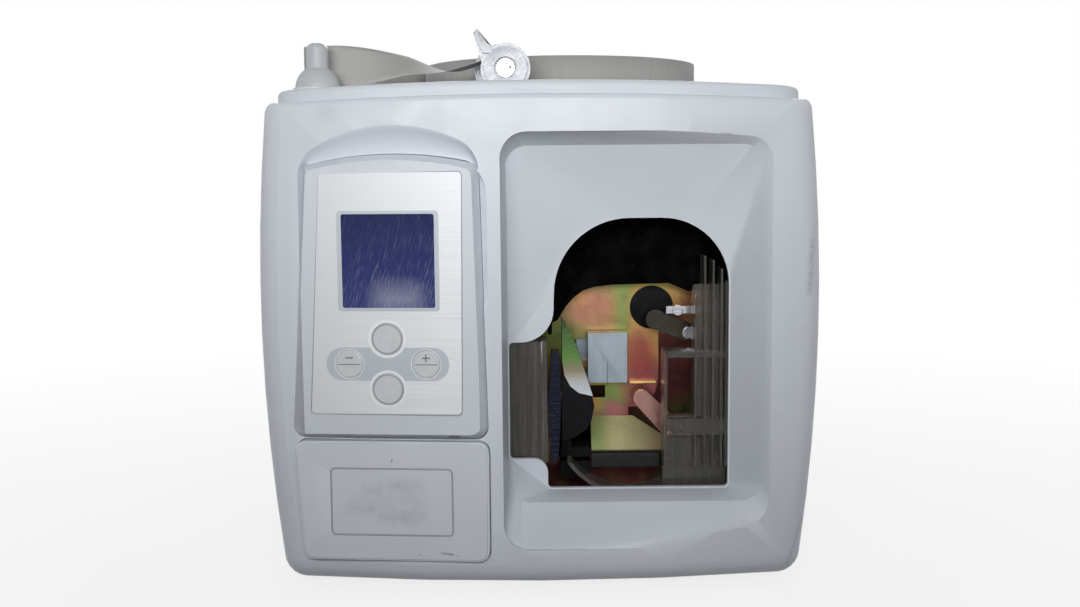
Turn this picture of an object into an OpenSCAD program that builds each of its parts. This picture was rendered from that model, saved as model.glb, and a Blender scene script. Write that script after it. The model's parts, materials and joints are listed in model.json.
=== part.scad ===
/* [Housing] */
// Widest width of the housing, at mid height
body_w = 262; // [252:1:274]
// Height of the covers at their sides, without feet and lid
body_h = 223; // [219:1:228]
// Distance of the bulged front face before the centre plane
front_y = 120; // [118:0.5:123]
// Plan radius of the bulged front face
front_r = 620; // [560:10:800]
// Radius of the barrel-shaped sides, seen from the front
side_r = 845; // [700:5:1200]
// Height of the widest line
side_mid = 127; // [115:1:140]
// Rise of the crowned top edge at the middle
crown = 3.6; // [2.5:0.1:4.5]
// Wall of the moulded covers
wall = 2.6; // [2.2:0.1:3]
// Rounding between the front face and the sides
edge_r = 10; // [8:0.5:12]
// Height of the rounding under the lid, as a share of its depth
edge_top = 0.35; // [0.3:0.05:0.5]
// Rounding between the back and the sides
back_r = 7; // [5:0.5:9]
// Rounding of the two lower corners, seen from the front
corner_bot = 11; // [9:0.5:13]
// Rounding of the two upper corners, seen from the front
corner_top = 6; // [5:0.5:8]
// Plane where the front and the rear cover meet
split_y = 10; // [4:1:16]
// Seam between neighbouring covers
seam = 0.3; // [0.2:0.05:0.4]
// Height of the rubber feet
foot_h = 4; // [3:0.5:6]
// Radius of the rubber feet
foot_r = 9; // [7:0.5:10]
// Sideways place of the feet
foot_x = 90; // [84:1:93]
// Thickness of the steel base plate
base_t = 2; // [1.5:0.25:3]

/* [Lid] */
// Height of the lid's visible band
lid_h = 4.7; // [4:0.1:5.5]
// How much the lid stands back from the covers
lid_step = 4; // [3:0.1:5]
// Rounding of the lid's upper edge
lid_edge = 2.6; // [1.5:0.1:3.2]
// Plan rounding of the lid's front corners
lid_corner = 16; // [12:1:20]
// Plan rounding of the lid's rear corners
lid_rear = 9; // [7:0.5:12]
// Radius of the round tray that the roll turns in
tray_r = 76; // [75:0.5:77]
// Height of the tray's floor above the sides of the covers
tray_rise = 2.6; // [2:0.1:3.2]
// Thickness of the tray's floor
tray_t = 2.4; // [2:0.1:3]

/* [Note mouth] */
// Left edge of the funnel's rim
rim_x0 = -17.5; // [-19:0.5:-17]
// Right edge of the funnel's rim
rim_x1 = 110.5; // [108:0.5:112]
// Lower edge of the funnel's rim
rim_z0 = 17; // [15:0.5:20]
// Upper edge of the funnel's rim
rim_z1 = 208.5; // [205:0.5:211]
// Depth plane of the sill's front edge
sill_y = -106; // [-108:0.5:-104]
// Height of the sill's front edge
sill_z = 36; // [34:0.5:37]
// Depth plane of the mouth's opening
mouth_y = -90; // [-91:0.5:-89.5]
// Left edge of the arch at its top
mouth_x0 = 6.6; // [6:0.1:8]
// Right edge of the arch
mouth_x1 = 90; // [88.5:0.5:91]
// Sill height at the opening
mouth_z0 = 38.6; // [37.5:0.1:39.5]
// Top of the arch
mouth_z1 = 168.6; // [166:0.2:172]
// Arch radius on the left
arch_l = 36; // [32:0.5:38]
// Arch radius on the right
arch_r = 32; // [28:0.5:36]
// Left end of the side slot
slot_x = -15; // [-15.5:0.1:-14.8]
// Lower edge of the side slot
slot_z0 = 53; // [52:0.5:55]
// Upper edge of the side slot
slot_z1 = 109.6; // [108:0.2:112]
// Blend radius between the arch and the upper edge of the side slot
blend_r = 16; // [12:0.5:18]
// Blend radius between the arch and the lower edge of the side slot
blend_low = 7; // [5:0.5:9]
// How far the mouth reaches further to the left below the side slot
mouth_foot = 3.4; // [2.6:0.1:4]
// Flat lip round the opening
mouth_lip = 0.6; // [0.4:0.1:1]

/* [Control housing] */
// Sideways middle of the control housing
pod_x = -70; // [-71:0.5:-69]
// Distance of its face before the centre plane, at its middle
pod_front = 120; // [119:0.25:121]
// How far the face turns to the right-hand side, degrees
pod_tilt = 5; // [3:0.5:6]
// Height of its lower edge
pod_z0 = 69.5; // [68:0.5:71]
// Height of its arched top at the middle
pod_z1 = 201.5; // [199:0.5:203]
// Radius of its arched top
pod_arch = 85; // [75:1:100]
// Depth from its face to the rear of its side walls
pod_depth = 11; // [10:0.5:13]
// Wall of the control housing
pod_wall = 2; // [1.6:0.1:2.4]
// Sloping flank at its left side
pod_flank = 6; // [4:0.5:7]
// Radius of the scooped recess above it
scoop_r = 58; // [55:1:62]
// Depth of that recess behind the front face
scoop_d = 8; // [6:0.5:9]
// Thickness of the overlay plate
overlay_t = 0.5; // [0.3:0.05:0.7]
// Display window's width
win_w = 43; // [40:0.5:46]
// Display window's height
win_h = 43; // [40:0.5:46]
// Height of the display window's middle
win_z = 151.3; // [150:0.1:153]
// Sideways place of the display window's middle
win_x = -68; // [-69:0.1:-67]
// Radius of the two middle keys
key_r = 7.1; // [6.5:0.1:7.4]
// Radius of the two outer keys
key_s = 6.3; // [5.6:0.1:6.6]
// Travel of a key
key_travel = 0.6; // [0.4:0.1:0.8]
// Gap round a key
key_gap = 0.15; // [0.1:0.05:0.25]
// Height of the key group's middle
key_z = 104.6; // [103.5:0.1:106]
// Vertical half pitch of the middle keys
key_dz = 11.5; // [11:0.1:12]
// Horizontal half pitch of the outer keys
key_dx = 17.6; // [17:0.1:18.5]
// Lower cover plate: height of its lower edge
low_z0 = 12.5; // [11:0.5:14]
// Lower cover plate: thickness
low_t = 3; // [2.5:0.25:3.5]

/* [Tape path] */
// Width of the paper tape
tape_w = 20; // [18:0.5:20]
// Thickness drawn for the tape
tape_t = 0.4; // [0.3:0.05:0.5]
// Roll middle, sideways
roll_x = 12; // [11:0.5:13]
// Roll middle, front to back
roll_y = 8; // [7:0.5:9]
// Outer radius of the paper roll
roll_r = 72.8; // [60:0.2:73.2]
// Radius of the roll's core
core_r = 20; // [18:0.5:25]
// Radius of the steel spindle
spindle_r = 5; // [4:0.5:6]
// Guide roller on the left, sideways
guide_x = -103.3; // [-105:0.1:-102]
// Guide roller on the left, front to back
guide_y = -75.5; // [-77:0.1:-74]
// Radius of the left guide roller
guide_r = 7.5; // [6:0.1:8]
// Inlet guide's axis, sideways
inlet_x = -15.1; // [-16:0.1:-14.5]
// Height of the inlet guide's axis above the top of the lid
inlet_rise = 7; // [6.8:0.1:7.8]
// Middle of the tape inside the inlet guide, front to back
inlet_y = -78.5; // [-79:0.1:-78]
// Radius of the inlet roller
inlet_r = 6.6; // [5.5:0.1:7.2]
// Radius of the inlet guide's front ring
inlet_cap_r = 10; // [9:0.1:10.4]
// Running clearance on every pin
run = 0.05; // [0.03:0.01:0.08]
// Radius of the rubber feed roller
feed_r = 7; // [6:0.1:8]
// Radius of the pinch roller
pinch_r = 5.5; // [5:0.1:6.5]
// Depth of the feed rollers' axes below the top of the covers
feed_drop = 19; // [17:0.5:22]

/* [Mechanism] */
// Front plane of the frame plate
frame_y = -48; // [-49:0.25:-47]
// Thickness of the frame plate
frame_t = 2; // [1.5:0.25:2.5]
// Pivot of the upper arm, sideways
up_x = 57.9; // [56:0.1:59]
// Pivot of the upper arm, height
up_z = 116.5; // [115.5:0.1:118]
// Length of the upper arm
up_len = 17.5; // [14:0.5:18.5]
// Pivot of the lower arm, sideways
lo_x = 51; // [50:0.1:52]
// Pivot of the lower arm, height
lo_z = 76.5; // [75.5:0.1:77.5]
// Length of the lower arm
lo_len = 26; // [22:0.5:27]
// Radius of the lower arm's roller
lo_roller_r = 4.6; // [4:0.1:5]
// Radius of the arm pivots
pivot_r = 2.5; // [2:0.1:3]
// Press head's left edge
head_x = 23.8; // [23.4:0.1:25]
// Press head's width
head_w = 19.8; // [16:0.2:20]
// Press head's height
head_h = 25.2; // [22:0.2:26]
// Press head's lower edge
head_z = 84.7; // [84.2:0.1:86]
// Travel of the press head to the left
head_travel = 5; // [3:0.5:6]
// Travel of the cutter blade
cutter_travel = 5; // [3:0.5:6]
// Cam shaft, sideways
cam_x = -8; // [-9:0.5:-6]
// Cam shaft, height
cam_z = 100; // [98:0.5:104]
// Radius of the cam shaft
cam_shaft_r = 4; // [3:0.25:5]
// Radius of the round cams
cam_r = 11; // [9:0.5:11]
// Radius of the drive motor
motor_r = 16; // [13:0.5:16]
// Tooth module of the gear pair
gear_m = 1; // [0.9:0.05:1.1]
// Teeth of the large gear
gear_n = 48; // [40:1:52]
// Teeth of the pinion
pinion_n = 14; // [12:1:16]
// Plane of the rear bearing plate
bearing_y = 20; // [16:1:24]

/* [Hidden] */
$fn = 48;

corner_n = 5;
side_n = 8;
top_n = 5;
ring_n = 5;
// Deepest point to the front: the right edge of the control housing's face
pod_face_r = 42.5;
rear_y = pod_front + pod_face_r * sin(pod_tilt);
inlet_proud = 1.8;
back_y = rear_y - inlet_proud;
lid_top = body_h + crown + seam + lid_h;
tray_z = body_h + tray_rise;
inlet_z = lid_top + inlet_rise;
feed_z = body_h - feed_drop;

// ---------- outline of the covers, seen from the front ----------
function half_w(z) = body_w / 2 - pow(z - side_mid, 2) / (2 * side_r);
function top_z(x) = body_h + crown * (1 - pow(2 * x / body_w, 2));
function bulge(x) = x * x / (2 * front_r);
function right_half(ins, it, up) =
    let (rb = max(corner_bot, ins + 1),
         rt = max(corner_top, ins + 1),
         bx = half_w(rb) - rb,
         tx = half_w(body_h - rt) - rt,
         tz = top_z(tx) - rt)
    concat(
        [[0, ins], [bx / 2, ins]],
        [for (i = [0:corner_n]) let (a = -90 + 90 * i / corner_n)
            [bx + (rb - ins) * cos(a), rb + (rb - ins) * sin(a)]],
        [for (i = [1:side_n - 1]) let (z = rb + (tz - rb) * i / side_n) [half_w(z) - ins, z]],
        [for (i = [0:corner_n]) let (a = 90 * i / corner_n)
            [tx + (rt - ins) * cos(a), tz + up + (rt - it) * sin(a)]],
        [for (i = [1:top_n - 1]) let (x = tx * (1 - i / top_n)) [x, top_z(x) - it + up]]);
function outline(ins, it, up) =
    let (r = right_half(ins, it, up), n = len(r))
    concat(r, [[0, top_z(0) - it + up]], [for (i = [n - 1:-1:1]) [-r[i][0], r[i][1]]]);
function ring(y, ins, it, up, s, curve) =
    let (zc = body_h / 2)
    [for (p = outline(ins, it, up)) [p[0] * s, y + curve * bulge(p[0] * s), zc + (p[1] - zc) * s]];

// Skin through rings of equal length, closed by a fan at each end
module loft(rings, c0, c1) {
    n = len(rings[0]);
    m = len(rings);
    pts = concat([for (r = rings) for (p = r) p], [c0, c1]);
    quads = [for (i = [0:m - 2]) for (j = [0:n - 1])
        let (a = i * n + j, b = i * n + (j + 1) % n, c = b + n, d = a + n)
        each [[a, b, c], [a, c, d]]];
    caps = [for (j = [0:n - 1]) each [[m * n, (j + 1) % n, j],
        [m * n + 1, (m - 1) * n + j, (m - 1) * n + (j + 1) % n]]];
    polyhedron(points = pts, faces = concat(quads, caps), convexity = 6);
}

// Front half of the housing, from the bulged face back to y1
module front_block(ins, up, y1) {
    r = max(edge_r - ins, 3);
    y0 = -front_y + ins;
    rings = concat(
        [for (s = [0.35, 0.7]) ring(y0, ins + r, ins + r * edge_top, up, s, 1)],
        [for (i = [0:ring_n]) let (a = 90 * i / ring_n, b = r * (1 - sin(a)))
            ring(y0 + r * (1 - cos(a)), ins + b, ins + b * edge_top, up, 1, 1)],
        [ring(y1, ins, ins, up, 1, 0)]);
    loft(rings, [0, y0, body_h / 2], [0, y1, body_h / 2]);
}

// Rear half of the housing, from y0 back to the flat back
module rear_block(ins, up, y0, y1) {
    r = max(back_r - ins, 2);
    rings = concat(
        [ring(y0, ins, ins, up, 1, 0)],
        [for (i = [ring_n:-1:0]) let (a = 90 * i / ring_n, b = r * (1 - sin(a)))
            ring(y1 - r * (1 - cos(a)), ins + b, ins + b * edge_top, up, 1, 0)]);
    loft(rings, [0, y0, body_h / 2], [0, y1, body_h / 2]);
}

// ---------- small helpers ----------
module lift() {
    translate([0, 0, foot_h])
        children();
}
// A flat shape standing upright, from y to y + t
module plate_y(y, t) {
    translate([0, y + t, 0])
        rotate([90, 0, 0])
            linear_extrude(t)
                children();
}
module pin_y(x, z, y0, y1, r) {
    translate([x, y1, z])
        rotate([90, 0, 0])
            cylinder(r = r, h = y1 - y0);
}
module pin_x(y, z, x0, x1, r) {
    translate([x0, y, z])
        rotate([0, 90, 0])
            cylinder(r = r, h = x1 - x0);
}
module rrect(x0, x1, z0, z1, r) {
    translate([x0 + r, z0])
        square([x1 - x0 - 2 * r, z1 - z0]);
    translate([x0, z0 + r])
        square([x1 - x0, z1 - z0 - 2 * r]);
    for (x = [x0 + r, x1 - r])
        for (z = [z0 + r, z1 - r])
            translate([x, z])
                circle(r);
}
module box(x0, x1, y0, y1, z0, z1) {
    translate([x0, y0, z0])
        cube([x1 - x0, y1 - y0, z1 - z0]);
}
// Frame of the control housing: its face is the plane y = 0, x counts from its middle
module pod_space() {
    translate([pod_x, -pod_front, 0])
        rotate([0, 0, -pod_tilt])
            children();
}

// ---------- note mouth ----------
module arch2d(g) {
    hull() {
        translate([mouth_x0 + arch_l, mouth_z1 - arch_l])
            circle(r = arch_l + g, $fn = 64);
        translate([mouth_x1 - arch_r, mouth_z1 - arch_r])
            circle(r = arch_r + g, $fn = 64);
        translate([mouth_x0, mouth_z0 + 2])
            circle(r = 2 + g, $fn = 16);
        translate([mouth_x1 - 2, mouth_z0 + 2])
            circle(r = 2 + g, $fn = 16);
    }
}
module mouth2d() {
    zm = (slot_z0 + slot_z1) / 2;
    for (p = [[blend_r, zm, 200], [blend_low, 0, zm]])
        intersection() {
            offset(r = -p[0], $fn = 40)
                offset(r = p[0], $fn = 40)
                    union() {
                        arch2d(0);
                        rrect(slot_x, mouth_x0 + 20, slot_z0, slot_z1, 2);
                        rrect(mouth_x0 - mouth_foot, mouth_x0 + 20, mouth_z0, zm, 2);
                    }
            translate([-50, p[1]])
                square([200, p[2] - p[1]]);
        }
}
module rim_slab(g) {
    plate_y(-front_y + 2.5, 0.05)
        rrect(rim_x0 - g, rim_x1 + g, rim_z0 - g, rim_z1 + g, 12 + g, $fn = 32);
}
module sill_slab(g) {
    plate_y(sill_y + g * 0.4, 0.05)
        rrect(rim_x0 + 2 - g, rim_x1 - 7 + g, sill_z - g, rim_z1 - 6 + g, 10 + g, $fn = 32);
}
module mouth_slab(g) {
    plate_y(mouth_y + g - 0.05, 0.05)
        union() {
            arch2d(g);
            rrect(slot_x - g, mouth_x0 + 20, slot_z0 - g, slot_z1 + g, 2 + g);
            rrect(mouth_x0 - mouth_foot - g, mouth_x0 + 20, mouth_z0 - g, slot_z0 + 10, 2 + g);
        }
}
// The funnel that leads the notes in; g grows it to the outer side of its wall
module funnel(g) {
    hull() {
        translate([0, -12, 0])
            rim_slab(g);
        rim_slab(g);
        sill_slab(g);
    }
    hull() {
        sill_slab(g);
        mouth_slab(g + mouth_lip);
    }
}

// ---------- control housing outlines, in its own frame ----------
module pod2d(g) {
    intersection() {
        polygon([[-45.5 - g, pod_z0 - g], [45.7 + g, pod_z0 - g], [42 + g, pod_z1 + 10],
            [-36 - g, pod_z1 + 10]]);
        translate([1, pod_z1 - pod_arch])
            circle(r = pod_arch + g, $fn = 120);
    }
}
module pod_round2d(g, r) {
    offset(r = r, $fn = 20)
        offset(r = -r, $fn = 20)
            pod2d(g);
}
module pod_body(g) {
    hull() {
        for (y = [pod_flank, pod_depth - 0.05])
            plate_y(y, 0.05)
                pod_round2d(g, 6);
        plate_y(-g, 0.05)
            intersection() {
                pod_round2d(-2.6 + g, 5);
                translate([-44.5 + pod_flank, 0])
                    square([pod_face_r + 44.5 - pod_flank, 300]);
            }
    }
}
module low2d(g, r) {
    offset(r = r, $fn = 20)
        offset(r = -r, $fn = 20)
            polygon([[-40.5 - g, low_z0 - g], [46 + g, low_z0 - g], [46.2 + g, pod_z0 - 1 + g],
                [-44 - g, pod_z0 - 1 + g]]);
}

// ---------- covers ----------
module front_cover() {
    color("gainsboro")
        lift()
            difference() {
                front_block(0, 0, split_y);
                // inside, open at the back, the top and the bottom
                difference() {
                    front_block(wall, 12, split_y + 1);
                    funnel(wall);
                    for (s = [-1, 1])
                        for (z = [22, body_h - 26])
                            pin_y(s * (half_w(z) - wall - 4), z, split_y - 24, split_y + 2, 4.5);
                }
                box(-104, 104, -96, split_y + 1, -5, wall + 1);
                for (s = [-1, 1])
                    for (z = [22, body_h - 26])
                        pin_y(s * (half_w(z) - wall - 4), z, split_y - 16, split_y + 2, 1.6);
                funnel(0);
                plate_y(mouth_y - 3, 3 + 2 * wall)
                    mouth2d();
                // scooped recess above the control housing
                pod_space()
                    hull() {
                        plate_y(-4, 0.05)
                            translate([1, pod_z1 + 9.5 - scoop_r])
                                circle(r = scoop_r, $fn = 90);
                        plate_y(scoop_d, 0.05)
                            translate([1, 0])
                                intersection() {
                                    translate([0, pod_z1 - pod_arch])
                                        circle(r = pod_arch, $fn = 90);
                                    translate([-38, pod_z1 - 70])
                                        square([78, 100]);
                                }
                    }
                // seats of the control housing and the lower plate
                pod_space() {
                    plate_y(-8, 40)
                        pod_round2d(seam, 6);
                    plate_y(-8, 40)
                        low2d(seam, 5);
                }
            }
}

module rear_cover() {
    color("gainsboro")
        lift()
            difference() {
                rear_block(0, 0, split_y + seam, back_y);
                difference() {
                    rear_block(wall, 12, split_y - 1, back_y - wall);
                    for (s = [-1, 1])
                        for (z = [22, body_h - 26])
                            pin_y(s * (half_w(z) - wall - 4), z, split_y - 2, back_y, 4.5);
                }
                box(-104, 104, split_y - 1, 104, -5, wall + 1);
                for (s = [-1, 1])
                    for (z = [22, body_h - 26]) {
                        pin_y(s * (half_w(z) - wall - 4), z, split_y - 2, back_y + 1, 1.7);
                        pin_y(s * (half_w(z) - wall - 4), z, back_y - 3, back_y + 1, 3.4);
                    }
                // mains inlet, switch and air slots
                plate_y(back_y - wall - 1, wall + 2)
                    rrect(-94, -66, 25, 45, 2);
                plate_y(back_y - wall - 1, wall + 2)
                    rrect(switch_x - 10.5, switch_x + 10.5, switch_z - 7, switch_z + 7, 1);
                for (i = [0:8])
                    plate_y(back_y - wall - 1, wall + 2)
                        rrect(10 + i * 8, 13 + i * 8, 60, 120, 1.4);
            }
}

// Plan of the lid: bulged front, flat back, corners rounded by r0 in front and r1 behind
function lid_half(ins, r0, r1, wide) =
    let (w = half_w(body_h) - lid_step - ins + wide,
         yb = back_y - lid_step - ins,
         fx = w - r0,
         fy = -front_y + lid_step + ins)
    concat(
        [for (i = [0:4]) let (x = fx * i / 5) [x, fy + bulge(x)]],
        [for (i = [0:5]) let (a = -90 + 18 * i, x = fx + r0 * cos(a))
            [x, fy + bulge(x) + r0 + r0 * sin(a)]],
        [for (i = [0:5]) let (a = 18 * i) [w - r1 + r1 * cos(a), yb - r1 + r1 * sin(a)]],
        [[w * 0.5, yb]]);
function lid_ring(ins, h, r0 = lid_corner, r1 = lid_rear, wide = 0) =
    let (a = lid_half(ins, max(r0 - ins, 2), max(r1 - ins, 2), wide), n = len(a))
    [for (p = concat(a, [[0, back_y - lid_step - ins]],
        [for (i = [n - 1:-1:1]) [-a[i][0], a[i][1]]])) [p[0], p[1], top_z(p[0]) + h]];
function shrink(r, s) = [for (p = r) [p[0] * s, p[1] * s, top_z(p[0] * s) + lid_h + seam]];

module top_lid() {
    // the rim lies inside the walls of the covers
    out = wall + 0.8 - lid_step;
    rings = concat(
        [for (h = [-2.6, -1]) lid_ring(out, h, edge_r - lid_step, back_r - lid_step, 1)],
        [lid_ring(0, -1), lid_ring(0, seam + lid_h - lid_edge)],
        [for (i = [1:4]) let (a = 22.5 * i)
            lid_ring(lid_edge * (1 - cos(a)), seam + lid_h - lid_edge * (1 - sin(a)))],
        [for (s = [0.85, 0.6, 0.3]) shrink(lid_ring(lid_edge, 0), s)]);
    color("whitesmoke")
        lift()
            difference() {
                union() {
                    mirror([0, 0, 0])
                        loft_up(rings, [0, 0, top_z(0) - 2.6], [0, 0, lid_top]);
                    // tub of the tray
                    translate([roll_x, roll_y, tray_z - tray_t])
                        cylinder(r = tray_r + 2.4, h = tray_t + 3);
                    // flat pads for the guides
                    translate([guide_x, guide_y, body_h])
                        cylinder(r = guide_r + 2, h = pad_z - body_h);
                    translate([post_x, post_y, body_h])
                        cylinder(r = post_dome + 1, h = pad_z - body_h);
                    box(inlet_x - 15.5, tape_x - 2.8, inlet_y - tape_w / 2 - 5.5,
                        inlet_y + tape_w / 2 + 4.5, body_h + crown, foot_z);
                }
                translate([roll_x, roll_y, tray_z])
                    cylinder(r = tray_r, h = 30);
                // slot that the tape goes down through
                box(tape_x - 2.4, tape_x + 2.4, inlet_y - tape_w / 2 - 1, inlet_y + tape_w / 2 + 1,
                    tray_z - 10, lid_top + 5);
                translate([roll_x, roll_y, tray_z - tray_t - 1])
                    cylinder(r = spindle_r, h = 10);
            }
}
// Same skin for rings that climb instead of going back
module loft_up(rings, c0, c1) {
    n = len(rings[0]);
    m = len(rings);
    pts = concat([for (r = rings) for (p = r) p], [c0, c1]);
    quads = [for (i = [0:m - 2]) for (j = [0:n - 1])
        let (a = i * n + j, b = i * n + (j + 1) % n, c = b + n, d = a + n)
        each [[a, c, b], [a, d, c]]];
    caps = [for (j = [0:n - 1]) each [[m * n, j, (j + 1) % n],
        [m * n + 1, (m - 1) * n + (j + 1) % n, (m - 1) * n + j]]];
    polyhedron(points = pts, faces = concat(quads, caps), convexity = 6);
}
post_x = -101.8;
post_y = -94.6;
post_dome = 10.3;
pad_z = lid_top - 1.7;
foot_z = lid_top + 0.2;

module base_plate() {
    color("silver")
        lift()
            difference() {
                translate([0, 0, wall])
                    linear_extrude(base_t)
                        rrect(-111, 111, -99, 107, 8);
                for (s = [-1, 1])
                    for (y = [-84, 92])
                        translate([s * foot_x, y, 0])
                            cylinder(r = 2, h = 20);
                for (i = [0:5])
                    translate([-50 + i * 14, 60, 0])
                        linear_extrude(20)
                            rrect(0, 4, 0, 36, 1.9);
            }
}

module feet() {
    color("dimgray")
        for (s = [-1, 1])
            for (y = [-84, 92])
                translate([s * foot_x, y, 0])
                    rotate_extrude()
                        polygon([[0, 0], [foot_r - 1.2, 0], [foot_r, 1.2], [foot_r - 1, foot_h + wall],
                            [0, foot_h + wall]]);
}

module cover_screws() {
    color("silver")
        lift()
            for (s = [-1, 1])
                for (z = [22, body_h - 26])
                    translate([s * (half_w(z) - wall - 4), back_y - 0.6, z])
                        rotate([90, 0, 0])
                            difference() {
                                union() {
                                    cylinder(r = 3, h = 2.4);
                                    cylinder(r = 1.5, h = back_y - split_y + 13);
                                }
                                for (a = [0, 90])
                                    rotate([0, 0, a])
                                        translate([-1.8, -0.35, -1])
                                            cube([3.6, 0.7, 2]);
                            }
}

// ---------- control housing ----------
module key_holes(g) {
    for (s = [-1, 1]) {
        translate([win_x - pod_x - 1.1, key_z + s * key_dz])
            circle(key_r + g);
        translate([win_x - pod_x - 1.1 + s * key_dx, key_z])
            circle(key_s + g);
    }
}
module window2d(g) {
    rrect(win_x - pod_x - win_w / 2 - g, win_x - pod_x + win_w / 2 + g,
        win_z - win_h / 2 - g, win_z + win_h / 2 + g, 0.8);
}
module overlay2d() {
    r = 2;
    hull() {
        for (p = [[-35.2 + r, 81.5 + r], [34.8 - r, 81 + r], [36 - r, 191.4 - r],
            [-29 + r, 190.4 - r]])
            translate(p)
                circle(r = r, $fn = 24);
    }
}
module control_pod() {
    color("whitesmoke")
        lift()
            pod_space()
                difference() {
                    pod_body(0);
                    // hollow from behind
                    plate_y(pod_wall, pod_depth)
                        intersection() {
                            pod_round2d(-2.6 - pod_wall, 4);
                            translate([-44.5 + pod_flank + pod_wall, 0])
                                square([pod_face_r + 44.5 - pod_flank - 2 * pod_wall, 300]);
                        }
                    plate_y(-2, 8)
                        window2d(0);
                    plate_y(-2, 8)
                        key_holes(key_gap);
                }
}
module lower_plate() {
    color("whitesmoke")
        lift()
            pod_space()
                difference() {
                    union() {
                        plate_y(1.6, 9)
                            low2d(0, 5);
                        plate_y(0.8, 0.8)
                            low2d(-0.9, 4.4);
                    }
                    plate_y(low_t + 0.8, 12)
                        low2d(-low_t, 3);
                    // engraved line of the bare label field
                    plate_y(0.3, 1)
                        difference() {
                            rrect(-27.4, 29.6, 24.4, 56.1, 2.4);
                            rrect(-26.8, 29, 25, 55.5, 1.8);
                        }
                }
}
module overlay_panel() {
    color("silver")
        lift()
            pod_space()
                difference() {
                    plate_y(-overlay_t, overlay_t)
                        overlay2d();
                    plate_y(-2, 4)
                        window2d(-0.4);
                    plate_y(-2, 4)
                        key_holes(key_gap);
                }
}
module lcd_window() {
    color("steelblue")
        lift()
            pod_space()
                plate_y(0.05, 1.2)
                    window2d(-key_gap);
}
module lcd_module() {
    color("darkgreen")
        lift()
            pod_space() {
                plate_y(pod_wall, 4)
                    window2d(-0.9);
                plate_y(pod_wall + 4, 1.6)
                    window2d(4);
            }
}
module key_board() {
    color("green")
        lift()
            pod_space()
                difference() {
                    union() {
                        plate_y(key_back + key_travel + 0.5, 1.6)
                            rrect(-30, 34, 80, 122, 1);
                        for (s = [-1, 1]) {
                            pin_y(win_x - pod_x - 1.1, key_z + s * key_dz,
                                key_back + key_travel + 0.1, key_back + key_travel + 1, 2.5);
                            pin_y(win_x - pod_x - 1.1 + s * key_dx, key_z,
                                key_back + key_travel + 0.1, key_back + key_travel + 1, 2.5);
                        }
                    }
                }
}
key_face = -0.9;
key_back = 3.2;
module key(x, z, r) {
    color("whitesmoke")
        lift()
            pod_space() {
                pin_y(x, z, key_face + 0.3, key_back, r);
                pin_y(x, z, key_face, key_face + 0.3, r - 0.6);
                pin_y(x, z, pod_wall + 0.2, key_back, r + 0.9);
            }
}
module key_clr() {
    key(win_x - pod_x - 1.1, key_z + key_dz, key_r);
}
module key_set() {
    key(win_x - pod_x - 1.1, key_z - key_dz, key_r);
}
module key_minus() {
    key(win_x - pod_x - 1.1 - key_dx, key_z, key_s);
}
module key_plus() {
    key(win_x - pod_x - 1.1 + key_dx, key_z, key_s);
}

// ---------- tape reel on the lid ----------
hub_z = tray_z + 0.3;
hub_t = 1.2;
roll_z = hub_z + hub_t;
tape_x = inlet_x + inlet_r + tape_t;
module spindle() {
    color("silver")
        lift()
            translate([roll_x, roll_y, 0]) {
                translate([0, 0, tray_z - tray_t - 3])
                    cylinder(r = spindle_r - 0.02, h = tape_w + tray_t + 6);
                translate([0, 0, tray_z - tray_t - 3])
                    cylinder(r = spindle_r + 3, h = 3);
            }
}
module reel_hub() {
    color("whitesmoke")
        lift()
            translate([roll_x, roll_y, hub_z])
                difference() {
                    union() {
                        cylinder(r = 40, h = hub_t);
                        cylinder(r = core_r - 0.05, h = hub_t + tape_w - 3);
                    }
                    translate([0, 0, -1])
                        cylinder(r = spindle_r + run, h = 40);
                    for (i = [0:5])
                        rotate([0, 0, 60 * i + 30])
                            translate([12.5, 0, hub_t])
                                cylinder(r = 4, h = 40);
                }
}
// The wound paper: the outer lap steps up by one thickness
module tape_roll() {
    color("antiquewhite")
        lift()
            translate([roll_x, roll_y, roll_z])
                linear_extrude(tape_w)
                    difference() {
                        rotate([0, 0, belt_a])
                            polygon([for (i = [0:96]) let (a = i * 3.75, r = roll_r - 0.8 * (1 - i / 96))
                                [r * cos(a), r * sin(a)]]);
                        circle(core_r);
                    }
}
// Straight line that leaves the roll and meets the left guide roller
run_gap = 0.3;
roll_c = roll_r + run_gap + tape_t / 2;
guide_c = guide_r + run_gap + tape_t / 2;
belt_d = norm([guide_x - roll_x, guide_y - roll_y]);
belt_a = atan2(guide_y - roll_y, guide_x - roll_x) - acos((roll_c - guide_c) / belt_d);
belt_p0 = [roll_x + roll_c * cos(belt_a), roll_y + roll_c * sin(belt_a)];
belt_p1 = [guide_x + guide_c * cos(belt_a), guide_y + guide_c * sin(belt_a)];
belt_v = (belt_p1 - belt_p0) / norm(belt_p1 - belt_p0);
front_line_y = guide_y - guide_c;
inlet_c = inlet_r + tape_t;
climb = 17;
tape_low = pad_z + 0.4;
function smooth(t) = t * t * (3 - 2 * t);
// One cross-section of the tape: centre, width direction, face direction
function cut(c, w, n) = [c + w * tape_w / 2 + n * tape_t / 2, c - w * tape_w / 2 + n * tape_t / 2,
    c - w * tape_w / 2 - n * tape_t / 2, c + w * tape_w / 2 - n * tape_t / 2];
// 1: from the roll to the guide roller, leaning over in the middle
run1_n = 14;
run1 = [for (i = [0:run1_n]) let (s = i / run1_n,
        a = 90 - 66 * pow(sin(180 * max(0, (s - 0.09) / 0.91)), 1.2),
        low = roll_z + (tape_low - roll_z) * smooth(min(1, s / 0.3)) + 0.9 * sin(180 * s),
        side = [belt_v[1], -belt_v[0], 0],
        w = side * cos(a) + [0, 0, sin(a)],
        p = belt_p0 + (belt_p1 - belt_p0) * s,
        c = [p[0], p[1], low + tape_w / 2 * sin(a)])
    cut(c, w, cross([belt_v[0], belt_v[1], 0], w))];
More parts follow.
